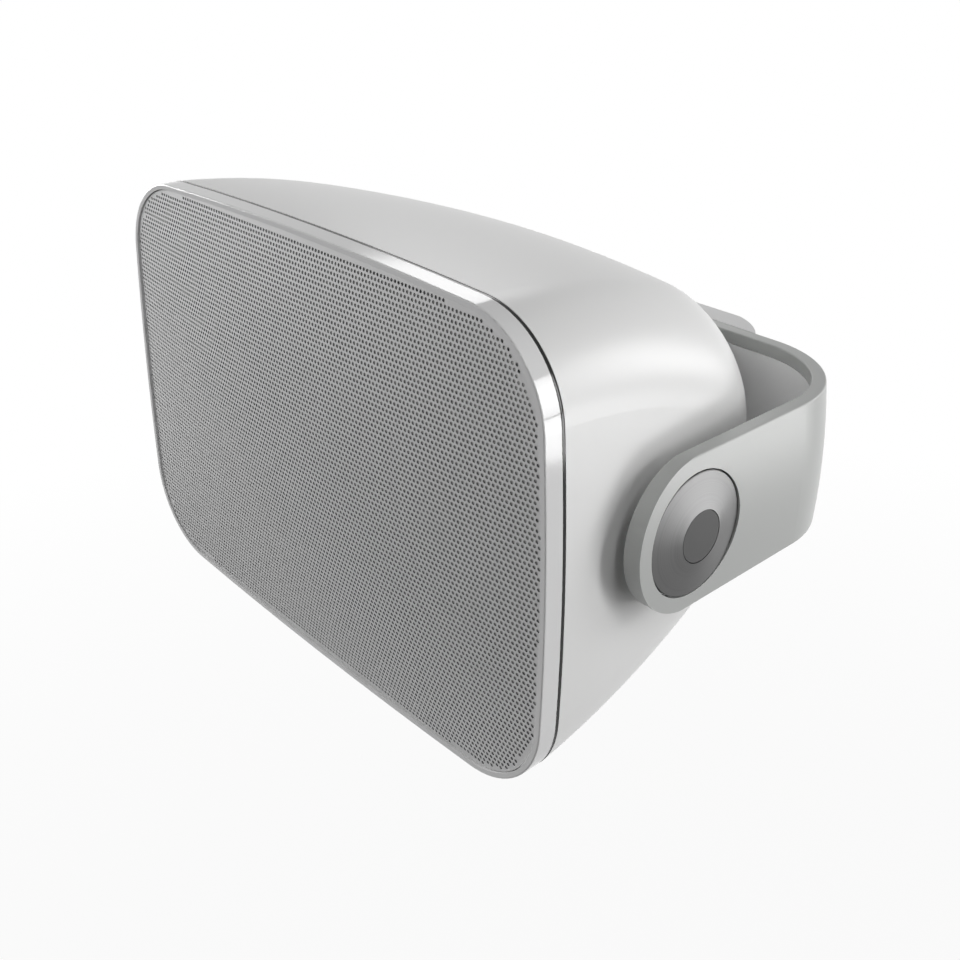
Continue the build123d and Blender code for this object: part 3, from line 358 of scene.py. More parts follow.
def folded_edge(name):
    """The bend and the return of the sheet: a profile carried along the border of the flat.

    The path is the border points in order around the front; a profile point (out, back) goes to
    path + out * outward direction, and lies that far back. The bend is a quarter of a circle.
    The ends of the profile that touch the sheet rise with its pillow, and the foot stays level.
    """
    path = np.unique(np.round(hole_cells[on_border] / border_step), axis=0) * border_step
    path = path[np.argsort(np.arctan2(path[:, 1], path[:, 0]))]
    outward = edge_depth(path, flat_inset)[1]
    bend = np.linspace(0, pi / 2, bend_points)
    inner = bend_radius - sheet_thickness
    out = np.concatenate([bend_radius * np.sin(bend), [
        bend_radius, bend_radius - foot_round, inner + foot_round, inner, inner, inner - back_lip]])
    back = np.concatenate([bend_radius * (1 - np.cos(bend)), [
        fold_foot - foot_round, fold_foot, fold_foot, fold_foot - foot_round,
        sheet_thickness + back_lip, sheet_thickness]])
    rises = np.array([True] * bend_points + [False] * 4 + [True] * 2)
    flat = path[:, None] + out[:, None] * outward[:, None]
    return carried_profile(name, flat, sheet_front + back - rises * pillow(flat))


grille_pieces.append(folded_edge("grille_folded_edge"))
for piece in grille_pieces:
    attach(piece, "cabinet")
    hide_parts("grille")
print("folded edge with", len(grille_pieces[-1].data.polygons), "faces")

# %% [markdown]
# ## The insect screen
# Close behind the punched sheet lies a fine steel mesh that keeps insects and spray off the
# cones. It is why the holes look grey instead of black. Its wires are far too fine to model, so
# the piece is one thin pillow, and its weave comes from the finish.

# %% Fine mesh behind the sheet
def insect_screen(name, inset, gap, thickness, around=160, along=30):
    """A thin pillow: a profile from the middle to the outline and back, carried around the front.

    A point at share s of the way to the outline is s times the outline's point, and lies on the
    pillow, moved back by the gap, and by the thickness too on the way back to the middle.
    """
    rim = outline_points(inset, around)[0]
    share = np.concatenate([np.linspace(0, 1, along), np.linspace(1, 0, along)])
    level = np.repeat([sheet_back + gap, sheet_back + gap + thickness], along)
    flat = rim[:, None] * share[:, None]
    return carried_profile(name, flat, level - pillow(flat), first_corner=1)


screen = insect_screen(
    "insect_screen", inset=sheet_inset + 3.0 * mm, gap=0.1 * mm, thickness=0.15 * mm)
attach(screen, "cabinet")
print("insect screen with", len(screen.data.polygons), "faces")

# %% [markdown]
# ## The lip of the seal
# A rubber ring is clamped between the rim and the cabinet. Pressed flat, it swells outwards until
# it almost fills the joint, and that lip is the black line around the speaker. A bevel on a curve
# could make it too, but one profile carried around the outline is the same thing as an array.

# %% Rubber lip in the joint
def seal_lip(name, out, inner, front, back, bulge, around=480, round_points=5):
    """A ring between two insets of the outline and two depths, its outer side rounded by bulge.

    The profile runs out along the front, around two quarters of a circle and in along the back.
    A profile point (o, y) goes to the outline's point plus o times the outward direction.
    """
    turn = np.linspace(0, pi / 2, round_points)
    reach = inner - out
    o = np.concatenate([
        [0], reach - bulge * (1 - np.sin(turn)), reach - bulge * (1 - np.cos(turn)), [0]])
    y = np.concatenate([
        [front], front + bulge * (1 - np.cos(turn)), back - bulge * (1 - np.sin(turn)), [back]])
    path, outward = outline_points(inner, around)
    return carried_profile(name, path[:, None] + o[:, None] * outward[:, None], y, closed=True)


lip = seal_lip("seal_lip", out=0.12 * mm, inner=1.75 * mm,
               front=-183.08 * mm, back=-181.52 * mm, bulge=0.1 * mm)
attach(lip, "cabinet")
print("seal lip with", len(lip.data.polygons), "faces")

# %% [markdown]
# ## Shader helpers
# A node tree is easier to read when each node is one line that says what feeds it. The helper
# adds a node, sets its options, and either links an input or fills it with a number. The others
# are short words for what the trees below need most: sums, mixtures, ranges and groups.

# %% Helpers for node trees
FLOAT, COLOUR, VECTOR = "NodeSocketFloat", "NodeSocketColor", "NodeSocketVector"
MIX_SOCKETS = {"RGBA": (6, 7, 2), "FLOAT": (2, 3, 0)}  # the Mix node's A, B and Result by kind


def wire(tree, kind, inputs=None, **options):
    """Add a node, set its options, then link or fill the inputs that are named."""
    node = tree.nodes.new(kind)
    for key, value in options.items():
        setattr(node, key, value)
    for key, value in (inputs or {}).items():
        if isinstance(value, bpy.types.NodeSocket):
            tree.links.new(value, node.inputs[key])
        else:
            node.inputs[key].default_value = value
    return node


def math_node(tree, operation, a, b=0.0, clamp=False):
    """One sum on two values, each a number or an output; gives the result's socket."""
    node = wire(tree, "ShaderNodeMath", {0: a, 1: b}, operation=operation, use_clamp=clamp)
    return node.outputs[0]


def blend(tree, share, a, b, kind="RGBA"):
    """Mix two colours or values, a at share 0 and b at share 1; gives the result's socket."""
    first, second, result = MIX_SOCKETS[kind]
    mix = wire(tree, "ShaderNodeMix", {0: share, first: a, second: b}, data_type=kind)
    return mix.outputs[result]


def remap(tree, value, low, high):
    """Run from low to high while a value runs from 0 to 1; gives the result's socket."""
    return wire(tree, "ShaderNodeMapRange",
                {"Value": value, "To Min": low, "To Max": high}).outputs["Result"]


def effect_group(name, inputs, outputs):
    """Start a node group with named sockets; gives its tree, its input node and its output node."""
    tree = bpy.data.node_groups.new(name, "ShaderNodeTree")
    for socket_name, kind, value in inputs:
        socket = tree.interface.new_socket(socket_name, in_out="INPUT", socket_type=kind)
        socket.default_value = value
    for socket_name, kind in outputs:
        tree.interface.new_socket(socket_name, in_out="OUTPUT", socket_type=kind)
    return tree, tree.nodes.new("NodeGroupInput"), tree.nodes.new("NodeGroupOutput")


def place_group(tree, group, inputs=None):
    """Put one copy of an effect into a material, with the material's own values."""
    return wire(tree, "ShaderNodeGroup", inputs, node_tree=group)


print("helpers ready")

# %% [markdown]
# ## Skin of paint and plastic
# Powder coat flows while it is baked and sets with a faint orange peel. Moulded plastic carries
# the spark-eroded grain of its tool. Both are small random bumps of one size, so one group
# serves all of them: a soft noise gives the bumps, and a much broader noise gives the slight
# change of gloss and of tone that keeps a white surface from looking like a flat fill.

# %% Group: surface_skin
noise_middle = 0.5  # a noise swings about this value
skin, skin_in, skin_out = effect_group(
    "surface_skin",
    [("Colour", COLOUR, (0.8, 0.8, 0.8, 1)), ("Bumps per metre", FLOAT, 1500.0),
     ("Tone change", FLOAT, 0.03), ("Roughness", FLOAT, 0.4), ("Gloss change", FLOAT, 0.05)],
    [("Colour", COLOUR), ("Height", FLOAT), ("Roughness", FLOAT)])
skin_place = wire(skin, "ShaderNodeTexCoord").outputs["Object"]
skin_bumps = wire(skin, "ShaderNodeTexNoise", {
    "Vector": skin_place, "Scale": skin_in.outputs["Bumps per metre"], "Detail": 2.0})
skin_broad = wire(skin, "ShaderNodeTexNoise", {"Vector": skin_place, "Scale": 14.0, "Detail": 3.0})
skin_swing = math_node(skin, "SUBTRACT", skin_broad.outputs[0], noise_middle)
skin_change = math_node(skin, "MULTIPLY", skin_swing, skin_in.outputs["Tone change"])
skin_tone = math_node(skin, "ADD", skin_change, 1.0)
skin_tint = wire(skin, "ShaderNodeVectorMath",
                 {0: skin_in.outputs["Colour"], 1: skin_tone}, operation="MULTIPLY")
skin_gloss = math_node(
    skin, "ADD", skin_in.outputs["Roughness"],
    math_node(skin, "MULTIPLY", skin_swing, skin_in.outputs["Gloss change"]), clamp=True)
skin.links.new(skin_tint.outputs["Vector"], skin_out.inputs["Colour"])
skin.links.new(skin_bumps.outputs[0], skin_out.inputs["Height"])
skin.links.new(skin_gloss, skin_out.inputs["Roughness"])
print("surface_skin has", len(skin.nodes), "nodes")

# %% [markdown]
# ## Marks of the lathe
# The pivot discs, their caps, the brass inserts and the magnet plates are turned, so fine grooves
# run around their axes. A picture of grooves would show its pixels, and a ring texture repeats
# evenly, which a cutting tool never does. A one-way noise along the radius gives grooves of
# uneven width and depth that are still true circles.

# %% Group: turned_rings
fine_share, wide_step = 0.6, 0.1  # share of the fine grooves; density of the wide ones
rings, rings_in, rings_out = effect_group(
    "turned_rings",
    [("Centre", VECTOR, (0, 0, 0)), ("Across", VECTOR, (0, 1, 1)),
     ("Rings per metre", FLOAT, 3000.0)],
    [("Tone", FLOAT), ("Height", FLOAT)])
rings_arm = wire(rings, "ShaderNodeVectorMath", {
    0: wire(rings, "ShaderNodeTexCoord").outputs["Object"],
    1: rings_in.outputs["Centre"]}, operation="SUBTRACT")
rings_flat = wire(rings, "ShaderNodeVectorMath", {
    0: rings_arm.outputs["Vector"], 1: rings_in.outputs["Across"]}, operation="MULTIPLY")
rings_far = wire(rings, "ShaderNodeVectorMath",
                 {0: rings_flat.outputs["Vector"]}, operation="LENGTH").outputs["Value"]
rings_count = rings_in.outputs["Rings per metre"]
rings_fine = wire(rings, "ShaderNodeTexNoise",
                  {"W": rings_far, "Scale": rings_count, "Detail": 2.0}, noise_dimensions="1D")
rings_wide = wire(rings, "ShaderNodeTexNoise",
                  {"W": rings_far, "Scale": math_node(rings, "MULTIPLY", rings_count, wide_step)},
                  noise_dimensions="1D")
rings_tone = math_node(
    rings, "ADD", math_node(rings, "MULTIPLY", rings_fine.outputs[0], fine_share),
    math_node(rings, "MULTIPLY", rings_wide.outputs[0], 1 - fine_share))
rings.links.new(rings_tone, rings_out.inputs["Tone"])
rings.links.new(rings_fine.outputs[0], rings_out.inputs["Height"])
print("turned_rings has", len(rings.nodes), "nodes")

# %% [markdown]
# ## Rubbed and lit edges
# Where an edge is handled or driven home, its finish is polished to another tone. On the white yoke
# the same mask carries a painted highlight instead: lighter edges that stand for the bright line of
# light along its rounded edges. The Bevel node gives the normal that the edge would have if it were
# round; where that differs from the true normal there is an edge, and a noise breaks it up so it
# isn't an even outline.

# %% Group: worn and lit edges, for wear and for a painted edge highlight
edge_gain = 5.0  # how soon a bent normal counts as a full edge
# one mask for two things: wear on metal edges, and a painted highlight along the white yoke's edges
worn_lit_edges, worn_lit_edges_in, worn_lit_edges_out = effect_group("worn_and_lit_edges", [("Width", FLOAT, 0.4 * mm)], [("Mask", FLOAT)])
worn_lit_round = wire(worn_lit_edges, "ShaderNodeBevel", {"Radius": worn_lit_edges_in.outputs["Width"]}, samples=4)
worn_lit_true = wire(worn_lit_edges, "ShaderNodeNewGeometry").outputs["Normal"]
worn_lit_dot = wire(worn_lit_edges, "ShaderNodeVectorMath",
               {0: worn_lit_round.outputs["Normal"], 1: worn_lit_true}, operation="DOT_PRODUCT")
worn_lit_bent = math_node(worn_lit_edges, "SUBTRACT", 1.0, worn_lit_dot.outputs["Value"])
worn_lit_edge = math_node(worn_lit_edges, "MULTIPLY", worn_lit_bent, edge_gain, clamp=True)
worn_lit_patch = wire(worn_lit_edges, "ShaderNodeTexNoise", {
    "Vector": wire(worn_lit_edges, "ShaderNodeTexCoord").outputs["Object"], "Scale": 350.0, "Detail": 2.0})
worn_lit_edges.links.new(math_node(worn_lit_edges, "MULTIPLY", worn_lit_edge, worn_lit_patch.outputs[0]), worn_lit_edges_out.inputs["Mask"])
print("worn_and_lit_edges has", len(worn_lit_edges.nodes), "nodes")

# %% [markdown]
# ## Plain weave
# The bass cone is woven glass fibre, the spider is resin-dipped cotton, and the insect screen is
# woven wire. In a plain weave each thread goes over one and under the next. Two sine waves, one
# along each thread direction, do it: where their signs agree the upright thread lies on top,
# elsewhere the level one, and the wave of the upper thread is its round back.

# %% Group: plain_weave
weave, weave_in, weave_out = effect_group(
    "plain_weave", [("Threads per metre", FLOAT, 900.0)], [("Over", FLOAT), ("Height", FLOAT)])
weave_place = wire(weave, "ShaderNodeTexCoord").outputs["Object"]
weave_at = wire(weave, "ShaderNodeSeparateXYZ", {0: weave_place}).outputs
weave_step = math_node(weave, "MULTIPLY", weave_in.outputs["Threads per metre"], pi)
weave_a = math_node(weave, "SINE", math_node(weave, "MULTIPLY", weave_at["X"], weave_step))
weave_b = math_node(weave, "SINE", math_node(weave, "MULTIPLY", weave_at["Z"], weave_step))
weave_over = math_node(weave, "GREATER_THAN", math_node(weave, "MULTIPLY", weave_a, weave_b), 0.0)
weave_up = math_node(weave, "MULTIPLY", weave_over, math_node(weave, "ABSOLUTE", weave_a))
weave_level = math_node(weave, "MULTIPLY", math_node(weave, "SUBTRACT", 1.0, weave_over),
                        math_node(weave, "ABSOLUTE", weave_b))
weave.links.new(weave_over, weave_out.inputs["Over"])
weave.links.new(math_node(weave, "ADD", weave_up, weave_level), weave_out.inputs["Height"])
print("plain_weave has", len(weave.nodes), "nodes")

# %% [markdown]
# ## Flecks
# Ferrite, fired ceramic, pressed fibre and circuit board are all powders or fibres in a binder:
# seen close up they are a base with flecks of another tone. A noise cut at a level gives the
# flecks, and the level sets how many there are.

# %% Group: binder_flecks
fleck_gain = 12.0  # how sharply a fleck ends
fleck, fleck_in, fleck_out = effect_group(
    "binder_flecks", [("Flecks per metre", FLOAT, 2500.0), ("Level", FLOAT, 0.6)],
    [("Mask", FLOAT), ("Height", FLOAT)])
fleck_noise = wire(fleck, "ShaderNodeTexNoise", {
    "Vector": wire(fleck, "ShaderNodeTexCoord").outputs["Object"],
    "Scale": fleck_in.outputs["Flecks per metre"], "Detail": 3.0})
fleck_over = math_node(fleck, "SUBTRACT", fleck_noise.outputs[0], fleck_in.outputs["Level"])
fleck_cut = math_node(fleck, "MULTIPLY", fleck_over, fleck_gain, clamp=True)
fleck.links.new(fleck_cut, fleck_out.inputs["Mask"])
fleck.links.new(fleck_noise.outputs[0], fleck_out.inputs["Height"])
print("binder_flecks has", len(fleck.nodes), "nodes")

# %% [markdown]
# ## From effect to finish
# A finish is one Principled shader. What is the same all over the surface, such as how metallic
# it is or how strong its clear coat, is set on the shader itself, and the groups feed only what
# changes from place to place. Four recipes cover the speaker: skins, turned metal, woven cloth
# and flecked stuff. Each recipe keeps what it makes under the name of its material slot.

# %% Recipes
micron = 0.001 * mm
clear_coat_roughness = 0.1
groove_gloss = 0.2  # grooves change the roughness of turned metal by this share, up and down
dip_shade = 0.45  # painted shade: brightness of a thread where it dips under the next
fleck_gloss = 0.7  # roughness of a fleck, as a share of the base's
finishes = {}


def grey(value):
    """A colour without tint."""
    return (value, value, value)


def new_finish(name, metallic=0.0, coat=0.0, ior=1.5):
    """Make and keep a material, and set its shader's even values; gives its tree and its shader."""
    material = bpy.data.materials.new(name)
    material.use_nodes = True
    shader = material.node_tree.nodes["Principled BSDF"]
    shader.inputs["Metallic"].default_value = metallic
    shader.inputs["Coat Weight"].default_value = coat
    shader.inputs["Coat Roughness"].default_value = clear_coat_roughness
    shader.inputs["IOR"].default_value = ior
    finishes[name] = material
    return material.node_tree, shader


def dress(tree, shader, colour, roughness, height, depth):
    """Link colour, roughness and bumps (whose full height is depth, in metres) to a shader."""
    bump = wire(tree, "ShaderNodeBump", {"Height": height, "Distance": depth, "Strength": 1.0})
    tree.links.new(colour, shader.inputs["Base Color"])
    tree.links.new(roughness, shader.inputs["Roughness"])
    tree.links.new(bump.outputs["Normal"], shader.inputs["Normal"])


def skin_finish(name, colour, roughness, bumps=1500.0, depth=10 * micron, tone=0.04,
                edge_wear_and_highlight=None, **even):
    """Paint, plastic, rubber or cast metal, with edges of another colour if one is given: wear on
    metal, a painted highlight on the white yoke.
    """
    tree, shader = new_finish(name, **even)
    effect = place_group(tree, skin, {
        "Colour": (*colour, 1), "Bumps per metre": bumps, "Tone change": tone,
        "Roughness": roughness})
    shade = effect.outputs["Colour"]
    # lighter edges: wear on metal, a painted highlight on the white yoke
    if edge_wear_and_highlight:
        shade = blend(tree, place_group(tree, worn_lit_edges).outputs["Mask"], shade, (*edge_wear_and_highlight, 1))
    dress(tree, shader, shade, effect.outputs["Roughness"], effect.outputs["Height"], depth)


def turned_finish(name, dark, light, roughness, centre=(0, 0, 0), across=(0, 1, 1), grooves=3000.0,
                  depth=4 * micron):
    """Turned metal: grooves around an axis change tone and gloss, and edges are rubbed bright."""
    tree, shader = new_finish(name, metallic=1.0)
    effect = place_group(tree, rings, {
        "Centre": centre, "Across": across, "Rings per metre": grooves})
    tone = effect.outputs["Tone"]
    shade = blend(tree, tone, (*dark, 1), (*light, 1))
    shade = blend(tree, place_group(tree, worn_lit_edges).outputs["Mask"], shade, (*light, 1))
    gloss = remap(tree, tone, roughness * (1 - groove_gloss), roughness * (1 + groove_gloss))
    dress(tree, shader, shade, gloss, effect.outputs["Height"], depth)
    return tree, shader


def woven_finish(name, upright, level, roughness, threads, depth, **even):
    """Cloth or wire mesh: two tones of thread, with a painted shade where they dip under each
    other.
    """
    tree, shader = new_finish(name, **even)
    effect = place_group(tree, weave, {"Threads per metre": threads})
    height = effect.outputs["Height"]
    shade = blend(tree, effect.outputs["Over"], (*level, 1), (*upright, 1))
    # painted shade: the thread is darker where it dips under its neighbour
    shade = wire(tree, "ShaderNodeVectorMath", {0: shade, 1: remap(tree, height, dip_shade, 1.0)},
                 operation="MULTIPLY").outputs["Vector"]
    dress(tree, shader, shade, remap(tree, height, 1.0, roughness), height, depth)


def flecked_finish(name, base, flecks, roughness, size, level=0.6, depth=10 * micron):
    """Powder or fibre in a binder: flecks of another colour, a little glossier than the base."""
    tree, shader = new_finish(name)
    effect = place_group(tree, fleck, {"Flecks per metre": 1 / size, "Level": level})
    shade = blend(tree, effect.outputs["Mask"], (*base, 1), (*flecks, 1))
    gloss = remap(tree, effect.outputs["Mask"], roughness, roughness * fleck_gloss)
    dress(tree, shader, shade, gloss, effect.outputs["Height"], depth)


print("recipes ready")

# %% [markdown]
# ## White paints and mouldings
# The whole outside is white, but it isn't one surface. The cabinet is a satin moulding with a very
# fine grain. The yoke is cast and powder coated: it has the soft orange peel of baked powder, and
# it is a greyer white. Its edges are painted lighter, a painted highlight for the line of light
# along them. The grille's thin coat is the mattest of them.
# Different gloss, more than different colour, is what tells these pieces apart.

# %% White finishes
grille_paint = {"colour": grey(0.78), "roughness": 0.48, "bumps": 1800.0, "depth": 8 * micron}
skin_finish("cabinet_white", (0.80, 0.80, 0.795), roughness=0.34, bumps=2600.0, depth=5 * micron)
skin_finish("grille_white", **grille_paint)
# the yoke's lighter edges are a painted highlight, for the bright line of light along them
skin_finish("yoke_white", (0.46, 0.47, 0.46), roughness=0.32, bumps=700.0, depth=6 * micron,
            edge_wear_and_highlight=(0.84, 0.84, 0.83))
# the strip in the yoke's channel is made a brighter white than the other mouldings: painted light,
# for the inside of the yoke
skin_finish("strip_white", grey(0.90), roughness=0.42, bumps=2600.0, depth=8 * micron)
skin_finish("plate_white", grey(0.78), roughness=0.40, bumps=2600.0, depth=8 * micron)
print("white finishes:", ", ".join(finishes))

# %% [markdown]
# ## The holes' walls
# The walls of the holes are given a dark grey in place of the paint colour. This is painted shade,
# standing for the shade that falls deep inside the fine holes. A place on the sheet is wall where
# its normal turns away from the front, which is all the mask needs to know.

# %% Punched sheet finish
# painted shade: the dark grey that the walls of the holes get
hole_wall_shade = grey(0.14)
facing_limit = 0.6  # a face takes the paint colour, not the painted shade of the walls, if its normal lies at least this much along Y
sheet_tree, sheet_shader = new_finish("punched_white")
sheet_skin = place_group(sheet_tree, skin, {
    "Colour": (*grille_paint["colour"], 1), "Bumps per metre": grille_paint["bumps"],
    "Roughness": grille_paint["roughness"]})
sheet_normal = wire(sheet_tree, "ShaderNodeSeparateXYZ", {
    0: wire(sheet_tree, "ShaderNodeTexCoord").outputs["Normal"]})
sheet_facing = math_node(sheet_tree, "ABSOLUTE", sheet_normal.outputs["Y"])
# 1 on the front and back, which take the paint colour; 0 on the walls, which take the painted shade
front_or_back = math_node(sheet_tree, "GREATER_THAN", sheet_facing, facing_limit)
dress(sheet_tree, sheet_shader,
      blend(sheet_tree, front_or_back, (*hole_wall_shade, 1), sheet_skin.outputs["Colour"]),
      sheet_skin.outputs["Roughness"], sheet_skin.outputs["Height"], grille_paint["depth"])
print("punched sheet finish with", len(sheet_tree.nodes), "nodes")

# %% [markdown]
# ## The baffle's two faces
# The front baffle is one moulding, but only its rim is lacquered: polished white around the
# outside, while the plate behind the grille is left matt black so that nothing shows through the
# holes. Splitting the solid would leave a seam, so a mask in the material does it. A place is
# white if it lies in the front three millimetres, or if its normal points away from the middle
# and it lies out at the rim.

# %% Rim and baffle finish
lacquer_edge = -188.0 * mm  # everything in front of this is lacquered
rim_power, rim_limit = 5.0, 0.75  # at the rim |x / a| and |z / b| to the power pass this sum


def rim_mask(tree):
    """White in front of the lacquer's edge, and where the normal leans outwards at the rim."""
    place = wire(tree, "ShaderNodeTexCoord")
    at = wire(tree, "ShaderNodeSeparateXYZ", {0: place.outputs["Object"]}).outputs
    normal = wire(tree, "ShaderNodeSeparateXYZ", {0: place.outputs["Normal"]}).outputs
    on_front = math_node(tree, "LESS_THAN", at["Y"], lacquer_edge)
    lean = math_node(tree, "ADD", *(
        math_node(tree, "MULTIPLY", at[axis], normal[axis]) for axis in ("X", "Z")))
    shares = [math_node(tree, "DIVIDE", math_node(tree, "ABSOLUTE", at[axis]), half_size)
              for axis, half_size in (("X", front_width / 2), ("Z", front_height / 2))]
    reach = math_node(tree, "ADD", *(math_node(tree, "POWER", v, rim_power) for v in shares))
    at_rim = math_node(tree, "MULTIPLY", math_node(tree, "GREATER_THAN", lean, 0.0),
                       math_node(tree, "GREATER_THAN", reach, rim_limit))
    return math_node(tree, "MAXIMUM", on_front, at_rim)


rim_tree, rim_shader = new_finish("rim_white")
lacquered = rim_mask(rim_tree)
rim_skin = place_group(rim_tree, skin, {
    "Colour": (*grey(0.80), 1), "Bumps per metre": 250.0, "Tone change": 0.02,
    "Roughness": 0.08, "Gloss change": 0.02})
baffle_skin = place_group(rim_tree, skin, {
    "Colour": (*grey(0.02), 1), "Bumps per metre": 3000.0, "Roughness": 0.7})
rim_gloss = blend(rim_tree, lacquered, baffle_skin.outputs["Roughness"],
                  rim_skin.outputs["Roughness"], kind="FLOAT")
dress(rim_tree, rim_shader,
      blend(rim_tree, lacquered, baffle_skin.outputs["Colour"], rim_skin.outputs["Colour"]),
      rim_gloss, rim_skin.outputs["Height"], 2 * micron)
print("rim finish with", len(rim_tree.nodes), "nodes")

# %% [markdown]
# ## Pivot discs
# Each pivot is covered by a turned aluminium disc with a dark flat cap. Its grooves stretch every
# reflection across them, which makes the bright wedges that swing round as one walks past. The
# shader's anisotropy does that once its tangent runs around the disc's axis.

# %% Turned disc finishes
pivot_place = (0, -123 * mm, 0)
disc_tree, disc_shader = turned_finish(
    "disc_metal", grey(0.09), grey(0.16), roughness=0.36, centre=pivot_place, grooves=2600.0)
disc_shader.inputs["Anisotropic"].default_value = 0.75
disc_tangent = wire(disc_tree, "ShaderNodeTangent", direction_type="RADIAL", axis="X")
disc_tree.links.new(disc_tangent.outputs[0], disc_shader.inputs["Tangent"])
turned_finish("cap_metal", grey(0.045), grey(0.065), roughness=0.42, centre=pivot_place,
              grooves=5000.0, depth=1 * micron)
turned_finish("brass", (0.62, 0.44, 0.17), (0.82, 0.64, 0.30), roughness=0.26, centre=pivot_place)
print("turned finishes around", [round(v / mm) for v in pivot_place], "mm")

# %% [markdown]
# ## Behind the grille and inside the cabinet
# Apart from the seal, these stuffs hardly show from outside. But the cones move, the cabinet
# tilts and the model may be opened, so each gets the look of its own stuff. A plain black would be
# quicker, but the same four recipes do it with one line each.

# %% Rubber, plastic and metal skins
skin_finish("seal_black", grey(0.010), roughness=0.10, bumps=500.0, depth=2 * micron,
            tone=0.2, ior=1.33)
skin_finish("washer_rubber", grey(0.024), roughness=0.55, bumps=2200.0, tone=0.25)
skin_finish("bush_plastic", grey(0.03), roughness=0.40, bumps=1800.0, tone=0.15)
skin_finish("radiator_plastic", grey(0.03), roughness=0.50, bumps=2200.0, tone=0.2)
skin_finish("black_plastic", grey(0.022), roughness=0.45, bumps=2600.0, tone=0.2)
skin_finish("red_plastic", (0.45, 0.012, 0.012), roughness=0.28, bumps=1500.0, tone=0.12)
skin_finish("film_yellow", (0.72, 0.46, 0.04), roughness=0.25, bumps=400.0, tone=0.15, coat=0.4)
skin_finish("basket_metal", (0.03, 0.03, 0.032), roughness=0.50, bumps=1600.0, depth=40 * micron,
            tone=0.2, edge_wear_and_highlight=grey(0.20))
skin_finish("steel", (0.46, 0.46, 0.45), roughness=0.30, bumps=900.0, depth=4 * micron,
            tone=0.12, edge_wear_and_highlight=(0.68, 0.68, 0.67), metallic=1.0)
skin_finish("coil_copper", (0.60, 0.27, 0.13), roughness=0.32, bumps=2500.0, depth=30 * micron,
            tone=0.2, metallic=1.0)
print(len(finishes), "finishes so far")

# %% Turned, woven and flecked stuff
front_on = (1, 0, 1)  # across an axis that runs from front to back
turned_finish("plated_steel", (0.42, 0.42, 0.40), (0.60, 0.60, 0.57), roughness=0.32,
              across=front_on, grooves=1500.0)
turned_finish("dome_aluminium", (0.55, 0.55, 0.56), (0.68, 0.68, 0.69), roughness=0.28,
              across=front_on, grooves=700.0)
woven_finish("cone_weave", (0.58, 0.57, 0.52), (0.48, 0.47, 0.43), roughness=0.45,
             threads=650.0, depth=200 * micron)
woven_finish("spider_cloth", (0.52, 0.36, 0.14), (0.44, 0.29, 0.10), roughness=0.7,
             threads=1300.0, depth=100 * micron)
woven_finish("screen_wire", (0.50, 0.50, 0.49), (0.44, 0.44, 0.43), roughness=0.5,
             threads=2600.0, depth=30 * micron, metallic=1.0)
flecked_finish("cap_fibre", grey(0.06), (0.14, 0.14, 0.13), roughness=0.75, size=0.6 * mm)
flecked_finish("ferrite", (0.028, 0.028, 0.03), (0.07, 0.07, 0.075), roughness=0.55, size=0.3 * mm)
flecked_finish("ceramic", (0.74, 0.73, 0.68), (0.55, 0.54, 0.50), roughness=0.6,
               size=0.5 * mm, level=0.64)
flecked_finish("board", (0.015, 0.10, 0.035), (0.03, 0.17, 0.06), roughness=0.35,
               size=0.8 * mm, level=0.55)
print(len(finishes), "finishes in all")

# %% [markdown]
# ## Dressing the pieces
# The record says which slot each solid belongs to, and every slot has a finish of that name, so a
# table does what a hand would do fifty times. The new pieces get theirs one by one.

# %% Put the finishes on
slot_of = {part["node"]: part["material_slot"] for part in frame["record"]["subparts"]}
for name, node in nodes.items():
    node.data.materials.clear()
    node.data.materials.append(finishes[slot_of[name]])
new_pieces = {name: "punched_white" for name in sheet_names}
new_pieces.update(grille_folded_edge="grille_white", insect_screen="screen_wire",
                  seal_lip="seal_black")
for piece in (*grille_pieces, screen, lip):
    piece.data.materials.append(finishes[new_pieces[piece.name]])
print(len(finishes), "finishes on", len(nodes), "solids and", len(new_pieces), "new pieces")

# %% [markdown]
# ## Floor
# The speaker hangs from a wall bracket, so the floor lies well below it and takes only a faint
# shadow. A brighter lamp would whiten the floor and burn out the speaker with it. So to the camera
# the floor is nearly white by itself, and near the speaker it still answers to the lamps, so a
# shadow can fall there; further out it fades into the white of the studio.

# %% Floor
floor_height, floor_reach = -0.9, 30
fade_start, fade_end, near_glow = 0.8, 2.0, 0.92  # distances from the speaker, share near it
floor_corners = [(-1, -1), (1, -1), (1, 1), (-1, 1)]
floor_mesh = bpy.data.meshes.new("studio_floor")
floor_mesh.from_pydata([(x * floor_reach, y * floor_reach, floor_height) for x, y in floor_corners],
                       [], [(0, 1, 2, 3)])
floor = bpy.data.objects.new("studio_floor", floor_mesh)
scene.collection.objects.link(floor)


def seen_ray(tree):
    """1 for rays that come from the camera, a mirror or glass, and 0 for light that spreads."""
    ray = wire(tree, "ShaderNodeLightPath").outputs
    return math_node(tree, "MAXIMUM", ray["Is Camera Ray"],
                     math_node(tree, "MAXIMUM", ray["Is Glossy Ray"], ray["Is Transmission Ray"]))


